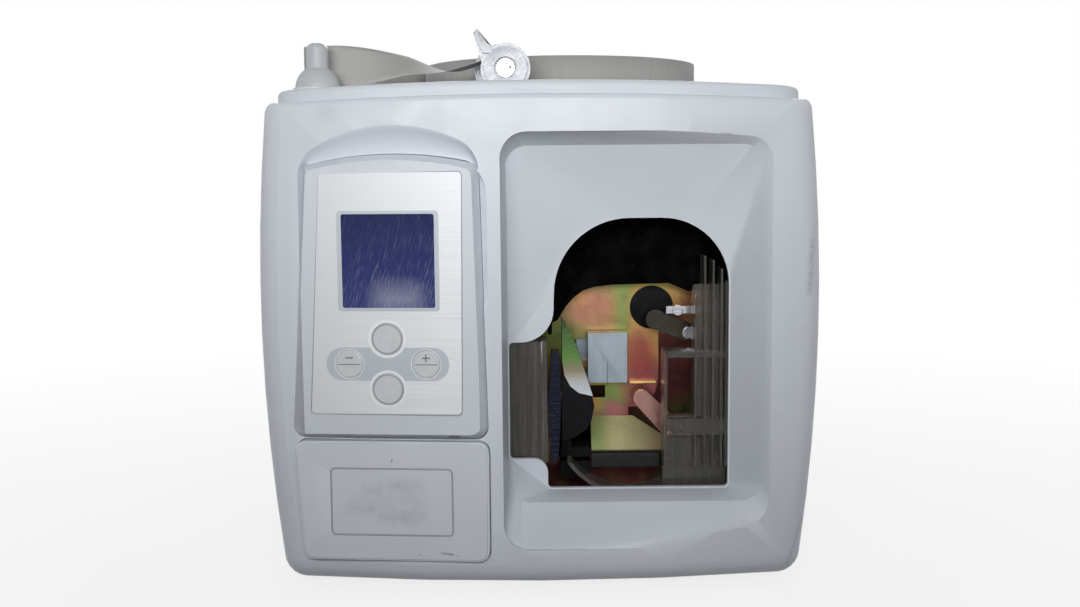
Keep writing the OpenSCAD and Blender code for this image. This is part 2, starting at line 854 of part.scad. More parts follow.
// 2: round the guide roller
run2_a = 270 - (belt_a + 360);
run2 = [for (i = [1:8]) let (b = belt_a + run2_a * i / 8)
    cut([guide_x + guide_c * cos(b), guide_y + guide_c * sin(b), tape_low + tape_w / 2],
        [0, 0, 1], [cos(b), sin(b), 0])];
// 3: free run with a quarter twist to the inlet guide
run3_n = 18;
in_x = inlet_x - inlet_c * sin(climb);
in_z = inlet_z + inlet_c * cos(climb);
run3 = [for (i = [1:run3_n]) let (s = i / run3_n,
        x = guide_x + (in_x - guide_x) * s,
        t = min(1, max(0, (x - guide_x - 8) / 58)),
        a = 90 * pow(1 - t, 1.3),
        z0 = tape_low + tape_w / 2,
        zl = in_z - (in_x - x) * tan(climb),
        k = smooth(min(1, max(0, (x - guide_x - 40) / 32))),
        z = z0 * (1 - k) + zl * k + (1 - k) * 0.6 * sin(180 * s),
        y = front_line_y + (inlet_y - front_line_y) * smooth(s),
        w = [0, cos(a), sin(a)],
        u = [1, 0, k * tan(climb)] / norm([1, 0, k * tan(climb)]))
    cut([x, y, z], w, cross(w, u) * -1)];
// 4: over the inlet roller and down to the feed rollers
run4 = concat([for (i = [1:8]) let (b = 90 + climb - (90 + climb) * i / 8)
        cut([inlet_x + inlet_c * cos(b), inlet_y, inlet_z + inlet_c * sin(b)], [0, 1, 0],
            [cos(b), 0, sin(b)])],
    [cut([inlet_x + inlet_c, inlet_y, feed_z - 16], [0, 1, 0], [1, 0, 0])]);
module band(sections) {
    m = len(sections);
    pts = [for (s = sections) for (p = s) p];
    sides = [for (i = [0:m - 2]) for (j = [0:3])
        let (a = 4 * i + j, b = 4 * i + (j + 1) % 4)
        each [[a, b + 4, b], [a, a + 4, b + 4]]];
    polyhedron(points = pts, faces = concat([[0, 1, 2, 3],
        [4 * m - 1, 4 * m - 2, 4 * m - 3, 4 * m - 4]], sides), convexity = 8);
}
// The free run, cut off square below the feed rollers
module tape_run() {
    color("antiquewhite")
        lift()
            difference() {
                band(concat(run1, run2, run3, run4));
                box(tape_x - 10, tape_x + 10, inlet_y - tape_w, inlet_y + tape_w, feed_z - 30, feed_z - 14);
            }
}
module guide_post() {
    color("whitesmoke")
        lift()
            translate([post_x, post_y, pad_z])
                rotate_extrude()
                    intersection() {
                        union() {
                            circle(post_dome);
                            square([5.1, 17.5]);
                            translate([0, 17.5])
                                scale([1, 0.66])
                                    circle(5.1);
                        }
                        square([20, 40]);
                    }
}
module guide_roller() {
    color("whitesmoke")
        lift()
            translate([guide_x, guide_y, pad_z + 0.3])
                difference() {
                    cylinder(r = guide_r, h = tape_w - 0.6);
                    translate([0, 0, -1])
                        cylinder(r = 2 + run, h = 40);
                }
}
module guide_pin() {
    color("silver")
        lift()
            translate([guide_x, guide_y, pad_z]) {
                cylinder(r = 2, h = tape_w);
            }
}
module inlet_cap() {
    yf = inlet_y - tape_w / 2 - 0.6;
    color("darkgray")
        lift()
            difference() {
                union() {
                    pin_y(inlet_x, inlet_z, yf - 4, yf, inlet_cap_r);
                    pin_y(inlet_x, inlet_z, yf - 1.6, yf, inlet_cap_r + 1.6);
                    // ear for the finger
                    plate_y(yf - 1.6, 1.6)
                        polygon([[inlet_x - 11, inlet_z + 3], [inlet_x - 14.8, inlet_z + 16.4],
                            [inlet_x - 14.4, inlet_z + 17.8], [inlet_x - 12.9, inlet_z + 18.1],
                            [inlet_x - 7.6, inlet_z + 11.4], [inlet_x - 4, inlet_z + 8]]);
                    plate_y(yf - 3.2, 2)
                        polygon([[inlet_x - 10.6, inlet_z + 7], [inlet_x - 14.2, inlet_z + 16.2],
                            [inlet_x - 12.6, inlet_z + 17.6], [inlet_x - 8.4, inlet_z + 11.6],
                            [inlet_x - 5, inlet_z + 7]]);
                }
                pin_y(inlet_x, inlet_z, yf - 5, yf - 2, 5.2);
                pin_y(inlet_x, inlet_z, yf - 5, yf + 1, 2 + run);
                box(inlet_x - 40, inlet_x + 40, yf - 10, yf + 5, 200, foot_z);
            }
}
module inlet_screw() {
    yf = inlet_y - tape_w / 2 - 0.6;
    color("silver")
        lift()
            difference() {
                union() {
                    pin_y(inlet_x, inlet_z, yf - 3.6, yf - 2, 4.4);
                    pin_y(inlet_x, inlet_z, yf - 3.6, inlet_y + tape_w / 2 + 3.6, 2);
                }
                for (a = [0, 90])
                    translate([inlet_x, yf - 4, inlet_z])
                        rotate([0, a, 0])
                            translate([-2.6, -1, -0.5])
                                cube([5.2, 2, 1]);
            }
}
module inlet_roller() {
    color("dimgray")
        lift()
            difference() {
                pin_y(inlet_x, inlet_z, inlet_y - tape_w / 2 - 0.2, inlet_y + tape_w / 2 + 0.2,
                    inlet_r - 0.1);
                pin_y(inlet_x, inlet_z, -120, 0, 2 + run);
            }
}
module inlet_bracket() {
    y0 = inlet_y + tape_w / 2 + 0.6;
    color("darkgray")
        lift()
            difference() {
                union() {
                    pin_y(inlet_x - 3, inlet_z + 1, y0, y0 + 3, 12.6);
                    box(inlet_x - 14.5, inlet_x + 0.5, y0, y0 + 3.2, foot_z, inlet_z);
                }
                box(inlet_x - 40, inlet_x + 40, -100, 0, 200, foot_z);
                pin_y(inlet_x, inlet_z, y0 - 1, y0 + 9, 2 + run);
            }
}

// ---------- feed unit under the lid ----------
feed_x = tape_x - 0.1 + tape_t / 2 + 0.3 + feed_r;
pinch_x = tape_x - tape_t / 2 - 0.3 - pinch_r - 0.1;
feed_plate_y = inlet_y + tape_w / 2 + 2;
module feed_roller() {
    color("dimgray")
        lift() {
            pin_y(feed_x, feed_z, inlet_y - 9.5, inlet_y + 9.5, feed_r);
            pin_y(feed_x, feed_z, inlet_y - 9.5, frame_y + 6, 2);
        }
}
module pinch_roller() {
    color("dimgray")
        lift() {
            pin_y(pinch_x, feed_z, inlet_y - 9.5, inlet_y + 9.5, pinch_r);
            pin_y(pinch_x, feed_z, inlet_y - 9.5, feed_plate_y + 3, 2);
        }
}
module feed_frame() {
    color("silver")
        lift()
            difference() {
                union() {
                    plate_y(feed_plate_y, 2)
                        rrect(pinch_x - 10, feed_x + 10, feed_z - 12, feed_z + 12, 2);
                    for (x = [pinch_x - 6.5, feed_x + 6.5])
                        for (z = [feed_z - 8.5, feed_z + 8.5])
                            pin_y(x, z, feed_plate_y + 1, frame_y, 2.5);
                }
                pin_y(feed_x, feed_z, -100, 0, 2 + run);
                pin_y(pinch_x, feed_z, -100, 0, 2 + run);
            }
}
module feed_motor() {
    color("silver")
        lift()
            difference() {
                pin_y(feed_x, feed_z - 4, frame_y + frame_t, frame_y + frame_t + 32, 14);
                pin_y(feed_x, feed_z, frame_y, frame_y + frame_t + 5, 3);
            }
}

// ---------- inside the note mouth ----------
hood_y0 = mouth_y + wall + mouth_lip + 0.3;
hood_y1 = frame_y - 12;
module arch_hood() {
    color("black")
        lift() {
            difference() {
                plate_y(hood_y0, hood_y1 - hood_y0)
                    intersection() {
                        difference() {
                            arch2d(2.6);
                            arch2d(0.6);
                        }
                        translate([-20, 113])
                            square([140, 80]);
                    }
            }
            plate_y(hood_y1 - 2, 2)
                intersection() {
                    arch2d(1);
                    polygon([[0, 113], [8.8, 117], [13, 124], [17, 128.4], [21.5, 131.6], [27, 133.4],
                        [36, 134.4], [64, 135], [74, 131], [100, 131], [100, 200], [0, 200]]);
                }
            // tab that sits on the frame plate
            box(40, 60, hood_y1 - 2, frame_y, 150, 153);
        }
}
module guide_left() {
    color("lightgray")
        lift() {
            box(slot_x - 1.9, slot_x - 0.4, hood_y0, hood_y0 + 20, slot_z0 - 3, slot_z1);
            box(slot_x - 1.9, 3.2, hood_y0 + 1, hood_y0 + 2.4, slot_z0 - 3, slot_z1);
            box(slot_x - 1.9, 3.2, hood_y0 + 18.6, hood_y0 + 20, slot_z0 - 3, slot_z1);
            for (x = [-11.5, -6.5, -1])
                box(x, x + 1.1, hood_y0, hood_y0 + 8, slot_z0 - 3, slot_z1);
            box(slot_x - 1.9, -12.5, hood_y0 + 19, frame_y, 60, 66);
        }
}
module guide_right() {
    color("lightgray")
        lift() {
            difference() {
                plate_y(-80, 3) {
                    rrect(59.4, mouth_x1 + 0.2, 36, 104, 1.5);
                    rrect(74, mouth_x1 + 0.2, 90, 136, 1.5);
                }
                plate_y(-81, 5)
                    rrect(61.8, 74, 71.4, 101, 0.8);
            }
            for (p = [[60, 104], [74.6, 130], [79, 150], [83, 148], [87, 144], [mouth_x1 - 0.6, 138]])
                box(p[0] - 0.5, p[0] + 0.5, hood_y0, hood_y0 + 15, 48, p[1]);
            box(61, mouth_x1, hood_y0 + 1, hood_y0 + 15, 101, 104);
            box(61, mouth_x1, hood_y0 + 1, hood_y0 + 15, 63, 71);
            box(mouth_x1 - 1, mouth_x1 + 2, hood_y0, frame_y, 80, 92);
        }
}
ring_x = 43.5;
ring_z = 71;
ring_r = 35.4;
module guide_ring() {
    color("lightgray")
        lift()
            difference() {
                pin_y(ring_x, ring_z, hood_y0, hood_y0 + 16, ring_r + 2);
                pin_y(ring_x, ring_z, hood_y0 - 1, hood_y0 + 21, ring_r);
                box(-40, 120, -100, 0, ring_z - 21, 200);
                box(58.9, 120, -100, 0, 0, 200);
            }
}
module stop_bar() {
    color("midnightblue")
        lift()
            difference() {
                plate_y(hood_y0 + 1, 15)
                    polygon([[5.2, 104], [9.1, 104], [9.9, 79], [8.4, 52], [6.4, 49], [4.2, 52],
                        [3.5, 79]]);
                for (i = [0:16])
                    box(0, 12, hood_y0, hood_y0 + 1.6, 54 + 2.9 * i, 55 + 2.9 * i);
            }
}
module tongue() {
    color("black")
        lift()
            difference() {
                union() {
                    plate_y(-84, 16)
                        polygon([[10.3, 99], [11.2, 92.2], [13.9, 87], [18.3, 83.5], [24.9, 81.9], [26, 77.6],
                            [24.4, 70], [22, 66], [16, 62], [10.2, 60]]);
                    // stem and foot block that fasten it to the frame plate
                    box(10.4, 15, -72, -66, 50, 63);
                    plate_y(frame_y - 22, 22)
                        rrect(9.6, 24.7, 38.5, 54, 2);
                }
                box(0, 24.8, frame_y - 24, frame_y - 6, 47, 49);
            }
}
module tongue_face() {
    color("silver")
        lift()
            plate_y(-84, 16)
                polygon([[10.3, 121], [11.6, 119.6], [15.6, 111], [18.4, 104], [21.2, 95], [25.4, 82.1],
                    [18.4, 83.8], [14.2, 87.2], [11.4, 92.5], [10.3, 100]]);
}
bush_x = up_x - 1;
bush_z = up_z + 5;
bush_r = 11;
module frame_plate() {
    color("goldenrod")
        lift()
            difference() {
                union() {
                    plate_y(frame_y, frame_t)
                        rrect(-24, 98, wall + base_t, body_h - 6, 3);
                    box(-24, 98, frame_y, frame_y + 14, wall + base_t, wall + base_t + 2);
                }
                // hole of the black bush
                pin_y(bush_x, bush_z, frame_y - 1, frame_y + 5, bush_r + 0.05);
                // windows beside the middle column
                plate_y(frame_y - 1, 5)
                    polygon([[7, 44], [25.5, 44], [25.5, 75], [33, 75], [33, 81.4], [7, 81.4]]);
                plate_y(frame_y - 1, 5)
                    polygon([[45, 44], [94, 44], [94, 108.6], [60.5, 108.6], [60.5, 84], [56.6, 70],
                        [45, 70]]);
                // slot of the press head's carriage
                plate_y(frame_y - 1, 5)
                    rrect(17.8, 38.4, 94.5, 105.5, 1);
                pin_y(lo_x, lo_z, frame_y - 1, frame_y + 5, pivot_r + run);
                pin_y(cam_x, cam_z, frame_y - 1, frame_y + 5, cam_shaft_r + run);
                pin_y(feed_x, feed_z, frame_y - 1, frame_y + 5, 2 + run);
            }
}
module bearing_plate() {
    color("goldenrod")
        lift()
            difference() {
                union() {
                    plate_y(bearing_y, frame_t)
                        rrect(-46, 98, wall + base_t, 150, 3);
                    box(-46, 98, bearing_y, bearing_y + 14, wall + base_t, wall + base_t + 2);
                }
                pin_y(cam_x, cam_z, bearing_y - 1, bearing_y + 5, cam_shaft_r + run);
                pin_y(up_x, up_z, bearing_y - 1, bearing_y + 5, pivot_r + run);
                pin_y(lo_x, lo_z, bearing_y - 1, bearing_y + 5, pivot_r + run);
                pin_y(cam_x, motor_z, bearing_y - 1, bearing_y + 5, 3);
            }
}
module spacers() {
    color("silver")
        lift()
            for (p = [[-18, 24], [90, 24], [-18, 142], [90, 142]])
                pin_y(p[0], p[1], frame_y + frame_t, bearing_y, 4);
}
module deck_plate() {
    color("goldenrod")
        lift()
            intersection() {
                translate([20, 0, 0])
                    rotate([90, 0, 90])
                        linear_extrude(50)
                            polygon([[frame_y, 65.6], [frame_y - 22, 51.6], [frame_y - 23, 50.6],
                                [frame_y - 23, 44], [frame_y - 21.6, 44], [frame_y - 21.6, 50],
                                [frame_y, 63.8]]);
                linear_extrude(100)
                    polygon([[25.5, frame_y + 1], [46, frame_y + 1], [61.5, frame_y - 12],
                        [61.5, frame_y - 19], [60.6, frame_y - 21.4], [58.6, frame_y - 23.2],
                        [25, frame_y - 23.2]]);
            }
}
module press_head() {
    color("lightsteelblue")
        lift()
            difference() {
                union() {
                    box(head_x, head_x + head_w, frame_y - 12, frame_y - 2, head_z,
                        head_z + head_h);
                    box(26, 34, frame_y - 3, frame_y + frame_t + 8, 96.5, 103.5);
                    box(18.5, 42, frame_y + frame_t + 0.4, frame_y + frame_t + 8, 91, 109);
                }
                box(head_x + 9.6, head_x + 9.9, frame_y - 13, frame_y - 11.7, head_z - 1,
                    head_z + 10);
                pin_x(frame_y + frame_t + 4.2, 100, 0, 60, 2 + run);
            }
}
module slide_rod() {
    color("silver")
        lift() {
            pin_x(frame_y + frame_t + 4.2, 100, 6, 52, 2);
            for (x = [4, 52])
                box(x, x + 4, frame_y + frame_t, frame_y + frame_t + 8, 94, 106);
        }
}
module cutter_blade() {
    color("silver")
        lift() {
            box(10, 25.1, frame_y - 12, frame_y + 12, 79.6, 81.1);
            box(10, 25.1, frame_y + 6, frame_y + 12, 70, 81);
        }
}
module arm2d(len, a, r0, r1) {
    circle(r0);
    translate([len * cos(a), len * sin(a)])
        circle(r1);
    // straight flanks touching both rounds
    b = asin((r0 - r1) / len);
    polygon([[r0 * cos(a + 90 - b), r0 * sin(a + 90 - b)],
        [len * cos(a) + r1 * cos(a + 90 - b), len * sin(a) + r1 * sin(a + 90 - b)],
        [len * cos(a) + r1 * cos(a - 90 + b), len * sin(a) + r1 * sin(a - 90 + b)],
        [r0 * cos(a - 90 + b), r0 * sin(a - 90 + b)]]);
}
up_a = -22;
lo_a = -46;
module upper_arm() {
    color("dimgray")
        lift()
            difference() {
                union() {
                    translate([up_x, 0, up_z])
                        plate_y(frame_y - 12, 5.5)
                            arm2d(up_len, up_a, 5, 4.4);
                    pin_y(up_x, up_z, frame_y - 8, bearing_y + 6, pivot_r);
                    pin_y(up_x, up_z, -12, -8, 9);
                }
                pin_y(up_x + up_len * cos(up_a), up_z + up_len * sin(up_a), frame_y - 20,
                    frame_y, 1.6);
            }
}
module upper_bush() {
    color("black")
        lift()
            difference() {
                union() {
                    pin_y(bush_x, bush_z, frame_y, frame_y + frame_t, bush_r);
                    pin_y(bush_x, bush_z, frame_y + frame_t, frame_y + frame_t + 2, bush_r + 2);
                }
                pin_y(up_x, up_z, frame_y - 9, frame_y + 9, pivot_r + run);
            }
}
module upper_screw() {
    color("silver")
        lift()
            translate([up_x + up_len * cos(up_a), 0, up_z + up_len * sin(up_a)])
                difference() {
                    union() {
                        pin_y(0, 0, frame_y - 14, frame_y - 12, 3);
                        pin_y(0, 0, frame_y - 14, frame_y - 7, 1.55);
                    }
                    for (a = [0, 90])
                        translate([0, frame_y - 14.4, 0])
                            rotate([0, a, 0])
                                translate([-1.8, -1, -0.4])
                                    cube([3.6, 2, 0.8]);
                }
}
module lower_arm() {
    color("rosybrown")
        lift()
            difference() {
                union() {
                    translate([lo_x, 0, lo_z])
                        plate_y(frame_y - 12, 6)
                            arm2d(lo_len, lo_a, 4.4, 5.4);
                    pin_y(lo_x, lo_z, frame_y - 8, bearing_y + 6, pivot_r);
                    pin_y(lo_x, lo_z, -4, 0, 9);
                }
                pin_y(lo_x + lo_len * cos(lo_a), lo_z + lo_len * sin(lo_a), frame_y - 20,
                    frame_y - 8, 1.55);
            }
}
module lower_roller() {
    color("dimgray")
        lift()
            translate([lo_x + lo_len * cos(lo_a), 0, lo_z + lo_len * sin(lo_a)]) {
                pin_y(0, 0, frame_y - 17, frame_y - 12.2, lo_roller_r);
                pin_y(0, 0, frame_y - 17, frame_y - 8.5, 1.5);
            }
}
module bracket() {
    color("silver")
        lift()
            difference() {
                union() {
                    box(62.3, 88, -68, -65.5, 120.4, 124);
                    box(84, 88, -68, frame_y, 117, 127);
                    pin_y(68, 122.2, -69.4, -66, 2.6);
                    pin_y(78, 122.2, -69.4, -66, 2.6);
                }
                for (x = [68, 78])
                    box(x - 1.8, x + 1.8, -70, -68.9, 121.8, 122.6);
            }
}
module contact_leaf() {
    color("gold")
        lift() {
            box(45.4, 59, frame_y - 3.2, frame_y - 2.4, 82.6, 83.6);
            box(45.4, 59, frame_y - 3.2, frame_y, 83.2, 84);
        }
}

// ---------- drive ----------
pinion_r = gear_m * pinion_n / 2;
gear_r = gear_m * gear_n / 2;
motor_z = cam_z - pinion_r - gear_r - 0.15;
gear_y = bearing_y + frame_t + 2;
// Spur gear seen along its axis: straight-flanked teeth round the root circle
module gear2d(n, turn) {
    rp = gear_m * n / 2;
    circle(rp - 1.2 * gear_m);
    for (i = [0:n - 1])
        rotate(360 * i / n + turn)
            polygon([[rp - 1.3 * gear_m, -0.72 * gear_m], [rp, -0.36 * gear_m],
                [rp + 0.8 * gear_m, -0.2 * gear_m], [rp + 0.8 * gear_m, 0.2 * gear_m],
                [rp, 0.36 * gear_m], [rp - 1.3 * gear_m, 0.72 * gear_m]]);
}
module cam_shaft() {
    color("silver")
        lift() {
            pin_y(cam_x, cam_z, frame_y - 1, gear_y + 8, cam_shaft_r);
            pin_y(cam_x + 3, cam_z, frame_y + frame_t + 12, frame_y + frame_t + 16, cam_r);
            pin_y(cam_x - 2, cam_z + 2.4, -12, -8, cam_r);
            pin_y(cam_x, cam_z - 3, -4, 0, cam_r);
        }
}
module cam_gear() {
    color("ivory")
        lift()
            difference() {
                translate([cam_x, 0, cam_z])
                    plate_y(gear_y, 6)
                        gear2d(gear_n, 90);
                pin_y(cam_x, cam_z, gear_y - 1, gear_y + 7, cam_shaft_r + 0.02);
                for (a = [0:5])
                    pin_y(cam_x + 14 * cos(60 * a), cam_z + 14 * sin(60 * a), gear_y - 1,
                        gear_y + 7, 4);
            }
}
module drive_motor() {
    color("silver")
        lift()
            difference() {
                pin_y(cam_x, motor_z, bearing_y - 44, bearing_y, motor_r);
                pin_y(cam_x, motor_z, bearing_y - 10, bearing_y + 1, 3);
            }
}
module motor_pinion() {
    color("gold")
        lift() {
            translate([cam_x, 0, motor_z])
                plate_y(gear_y, 6)
                    gear2d(pinion_n, 90 + 180 / pinion_n);
            pin_y(cam_x, motor_z, bearing_y - 9, gear_y + 6, 2.4);
        }
}
module power_board() {
    color("darkgreen")
        lift() {
            box(-104, -48.5, -60, 40, wall + base_t + 5, wall + base_t + 6.6);
            box(-96, -62, -50, -14, wall + base_t + 6.6, 46);
            for (y = [0, 18])
                translate([-56, y, wall + base_t + 6.6])
                    cylinder(r = 7, h = 22);
            box(-90, -66, 6, 30, wall + base_t + 6.6, 26);
            for (x = [-98, -54])
                for (y = [-54, 34])
                    translate([x, y, wall + base_t])
                        cylinder(r = 2.6, h = 5.5);
        }
}
module mains_inlet() {
    color("black")
        lift()
            difference() {
                union() {
                    plate_y(back_y, inlet_proud)
                        rrect(-97, -63, 22.5, 47.5, 3);
                    plate_y(back_y - 20, 20)
                        rrect(-93.7, -66.3, 25.3, 44.7, 2);
                }
                plate_y(back_y - 14, 20)
                    rrect(-91, -69, 28, 42, 3);
            }
}
switch_x = -44.5;
switch_z = 35;
rocker_y = back_y - 1.6;
module switch_frame() {
    color("black")
        lift()
            difference() {
                union() {
                    plate_y(back_y, 1.2)
                        rrect(switch_x - 12.5, switch_x + 12.5, switch_z - 9, switch_z + 9, 2);
                    plate_y(back_y - 16, 16)
                        rrect(switch_x - 10.2, switch_x + 10.2, switch_z - 6.7, switch_z + 6.7, 1);
                }
                plate_y(back_y - 6, 8)
                    rrect(switch_x - 7.9, switch_x + 7.9, switch_z - 4.6, switch_z + 4.6, 0.6);
                translate([switch_x, rocker_y, switch_z - 5.8])
                    cylinder(r = 0.9 + run, h = 11.6);
            }
}
module rocker() {
    color("black")
        lift()
            translate([switch_x, rocker_y, switch_z])
                rotate([0, 0, -6]) {
                    translate([0, 0, -4.3])
                        linear_extrude(8.6)
                            polygon([[-7.3, 2], [0, 3.3], [7.3, 2], [6.6, -2.4], [-6.6, -2.4]]);
                    translate([0, 0, -5.6])
                        cylinder(r = 0.9, h = 11.2);
                }
}

front_cover();
rear_cover();
top_lid();
base_plate();
feet();
cover_screws();
control_pod();
lower_plate();
overlay_panel();
lcd_window();
lcd_module();
key_board();
key_clr();
key_set();
key_minus();
key_plus();
spindle();
reel_hub();
tape_roll();
tape_run();
guide_post();
guide_roller();
guide_pin();
inlet_cap();
inlet_screw();
inlet_roller();
inlet_bracket();
feed_roller();
pinch_roller();
feed_motor();
feed_frame();
arch_hood();
guide_left();
guide_right();
guide_ring();
stop_bar();
tongue();
tongue_face();
frame_plate();
bearing_plate();
spacers();
deck_plate();
press_head();
slide_rod();
cutter_blade();
upper_arm();
upper_bush();
upper_screw();
lower_arm();
lower_roller();
bracket();
contact_leaf();
cam_shaft();
cam_gear();
drive_motor();
motor_pinion();
power_board();
mains_inlet();
switch_frame();
rocker();
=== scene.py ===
"""Looks of a banknote strapping machine, laid out as a Blender add-on and run as a script.

The packed model is the fixed frame. Each operator dresses one group of pieces, and main() calls
them in order. All lengths are in metres, in the frame of the packed model: +X to the right seen
from the front, the note mouth faces -Y, +Z up.
"""

import json
import math

import bmesh
import bpy
from bpy.props import FloatProperty, FloatVectorProperty, IntProperty, PointerProperty
from mathutils import Matrix, Vector


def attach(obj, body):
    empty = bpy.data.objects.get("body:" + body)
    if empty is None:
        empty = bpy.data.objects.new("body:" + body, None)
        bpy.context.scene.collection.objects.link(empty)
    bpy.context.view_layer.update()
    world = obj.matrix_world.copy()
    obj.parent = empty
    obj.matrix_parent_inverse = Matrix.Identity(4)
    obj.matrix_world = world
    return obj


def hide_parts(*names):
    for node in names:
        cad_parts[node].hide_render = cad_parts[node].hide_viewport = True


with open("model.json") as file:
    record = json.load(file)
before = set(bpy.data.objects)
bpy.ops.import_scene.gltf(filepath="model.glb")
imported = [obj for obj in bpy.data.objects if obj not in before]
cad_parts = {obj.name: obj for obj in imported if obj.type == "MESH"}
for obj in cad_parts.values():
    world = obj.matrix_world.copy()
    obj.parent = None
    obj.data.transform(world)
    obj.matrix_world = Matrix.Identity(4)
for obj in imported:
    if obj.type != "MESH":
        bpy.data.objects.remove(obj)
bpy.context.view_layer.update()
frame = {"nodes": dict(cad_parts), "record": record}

bl_info = {
    "name": "Banknote strapping machine",
    "version": (1, 0, 0),
    "blender": (4, 5, 0),
    "location": "3D View > Sidebar > Strapping machine",
    "description": "Dresses the packed strapping machine: covers, panel, tape, mechanism and stage",
    "category": "Object",
}

MM = 0.001

# The body that carries each CAD node
BODY_OF = {
    node: body
    for body, nodes in frame["record"]["behaviour"]["bodies"].items()
    for node in nodes
}

# Control housing: its face is a plane turned by POD_TILT about a vertical line through POD
POD = Vector((-70 * MM, -120 * MM, 0))
POD_TILT = math.radians(5)
WINDOW = (2 * MM, 155.3 * MM)
WINDOW_HALF = 21.5 * MM
KEYS_X = 0.9 * MM
KEYS_Z = 108.6 * MM
KEY_RISE = 11.5 * MM
KEY_REACH = 17.6 * MM
OVERLAY_Z = (85.4 * MM, 195.2 * MM)
OVERLAY_HALF = 34.9 * MM

# Where the deck turns down into its lip
DECK_LIP_Y = -69.0 * MM

# Tape: roll, left guide roller and inlet roller
ROLL = Vector((12 * MM, 8 * MM, 231.1 * MM))
ROLL_R = 72.8 * MM
CORE_R = 20 * MM
GUIDE = Vector((-103.3 * MM, -75.5 * MM))
GUIDE_R = 7.5 * MM
INLET = Vector((-15.1 * MM, -78.5 * MM, 242.6 * MM))
INLET_R = 6.6 * MM
TAPE_W = 20 * MM
TAPE_T = 0.4 * MM
PAD_Z = 233.9 * MM
FEED_Z = 208 * MM


# ---------------------------------------------------------------- settings

def colour_setting(name, text, default):
    return FloatVectorProperty(name=name, description=text, default=default, subtype="COLOR")


def length_setting(name, text, default):
    return FloatProperty(
        name=name, description=text, default=default, unit="LENGTH", subtype="DISTANCE"
    )


class CoverSettings(bpy.types.PropertyGroup):
    """Moulded white housing"""

    colour: colour_setting("Plastic", "Base colour of the moulded covers", (0.60, 0.63, 0.675))
    roughness: FloatProperty(
        name="Roughness",
        description="Gloss of the covers, from mirror to matt",
        default=0.40,
        min=0.0,
        max=1.0,
        subtype="FACTOR",
    )
    edge: length_setting("Edge radius", "Radius that softens the covers' moulded edges", 0.35 * MM)


class PanelSettings(bpy.types.PropertyGroup):
    """Printed overlay, display and keys"""

    metal: colour_setting("Overlay", "Colour of the brushed overlay", (0.66, 0.68, 0.70))
    band: colour_setting(
        "Key band", "Colour of the printed band behind the keys", (0.36, 0.40, 0.43)
    )
    display: colour_setting(
        "Display", "Colour of the unlit display behind its window", (0.016, 0.022, 0.088)
    )


class TapeSettings(bpy.types.PropertyGroup):
    """Paper tape and its roll"""

    paper: colour_setting("Paper", "Colour of the paper tape", (0.40, 0.395, 0.375))
    laps: IntProperty(
        name="Laps",
        description="Laps that the wound roll is drawn with",
        default=58,
        min=8,
        max=90,
    )
    thickness: length_setting("Tape thickness", "Thickness of the free run", 0.16 * MM)


class MechanismSettings(bpy.types.PropertyGroup):
    """Plates, arms and guides behind the note mouth"""

    zinc: colour_setting(
        "Passivated zinc", "Gold colour that the rainbow tints play around", (0.27, 0.155, 0.06)
    )
    smoke: colour_setting("Smoked plastic", "Colour of the clear guides", (0.50, 0.475, 0.43))
    edge: length_setting("Edge radius", "Radius that breaks the edges of metal parts", 0.22 * MM)


class StageSettings(bpy.types.PropertyGroup):
    """Camera, lamps and floor"""

    camera_y: length_setting("Camera distance", "Place of the camera along Y", -0.662)
    camera_z: length_setting("Camera height", "Height of the camera above the floor", 0.194)
    pitch: FloatProperty(
        name="Pitch",
        description="How far the camera looks down",
        default=math.radians(6.15),
        unit="ROTATION",
        subtype="ANGLE",
    )
    roll: FloatProperty(
        name="Roll",
        description="Tilt of the camera about its own axis",
        default=math.radians(-0.5),
        unit="ROTATION",
        subtype="ANGLE",
    )
    key_power: FloatProperty(
        name="Key lamp",
        description="Power of the large lamp above the front",
        default=2.5,
        min=0.0,
        unit="POWER",
    )
    fill: FloatProperty(
        name="Fill light",
        description="Strength of the soft light from all around",
        default=0.17,
        min=0.0,
        max=1.0,
    )


SETTINGS = {
    "strap_cover": CoverSettings,
    "strap_panel": PanelSettings,
    "strap_tape": TapeSettings,
    "strap_mechanism": MechanismSettings,
    "strap_stage": StageSettings,
}


# ---------------------------------------------------------------- shader helpers

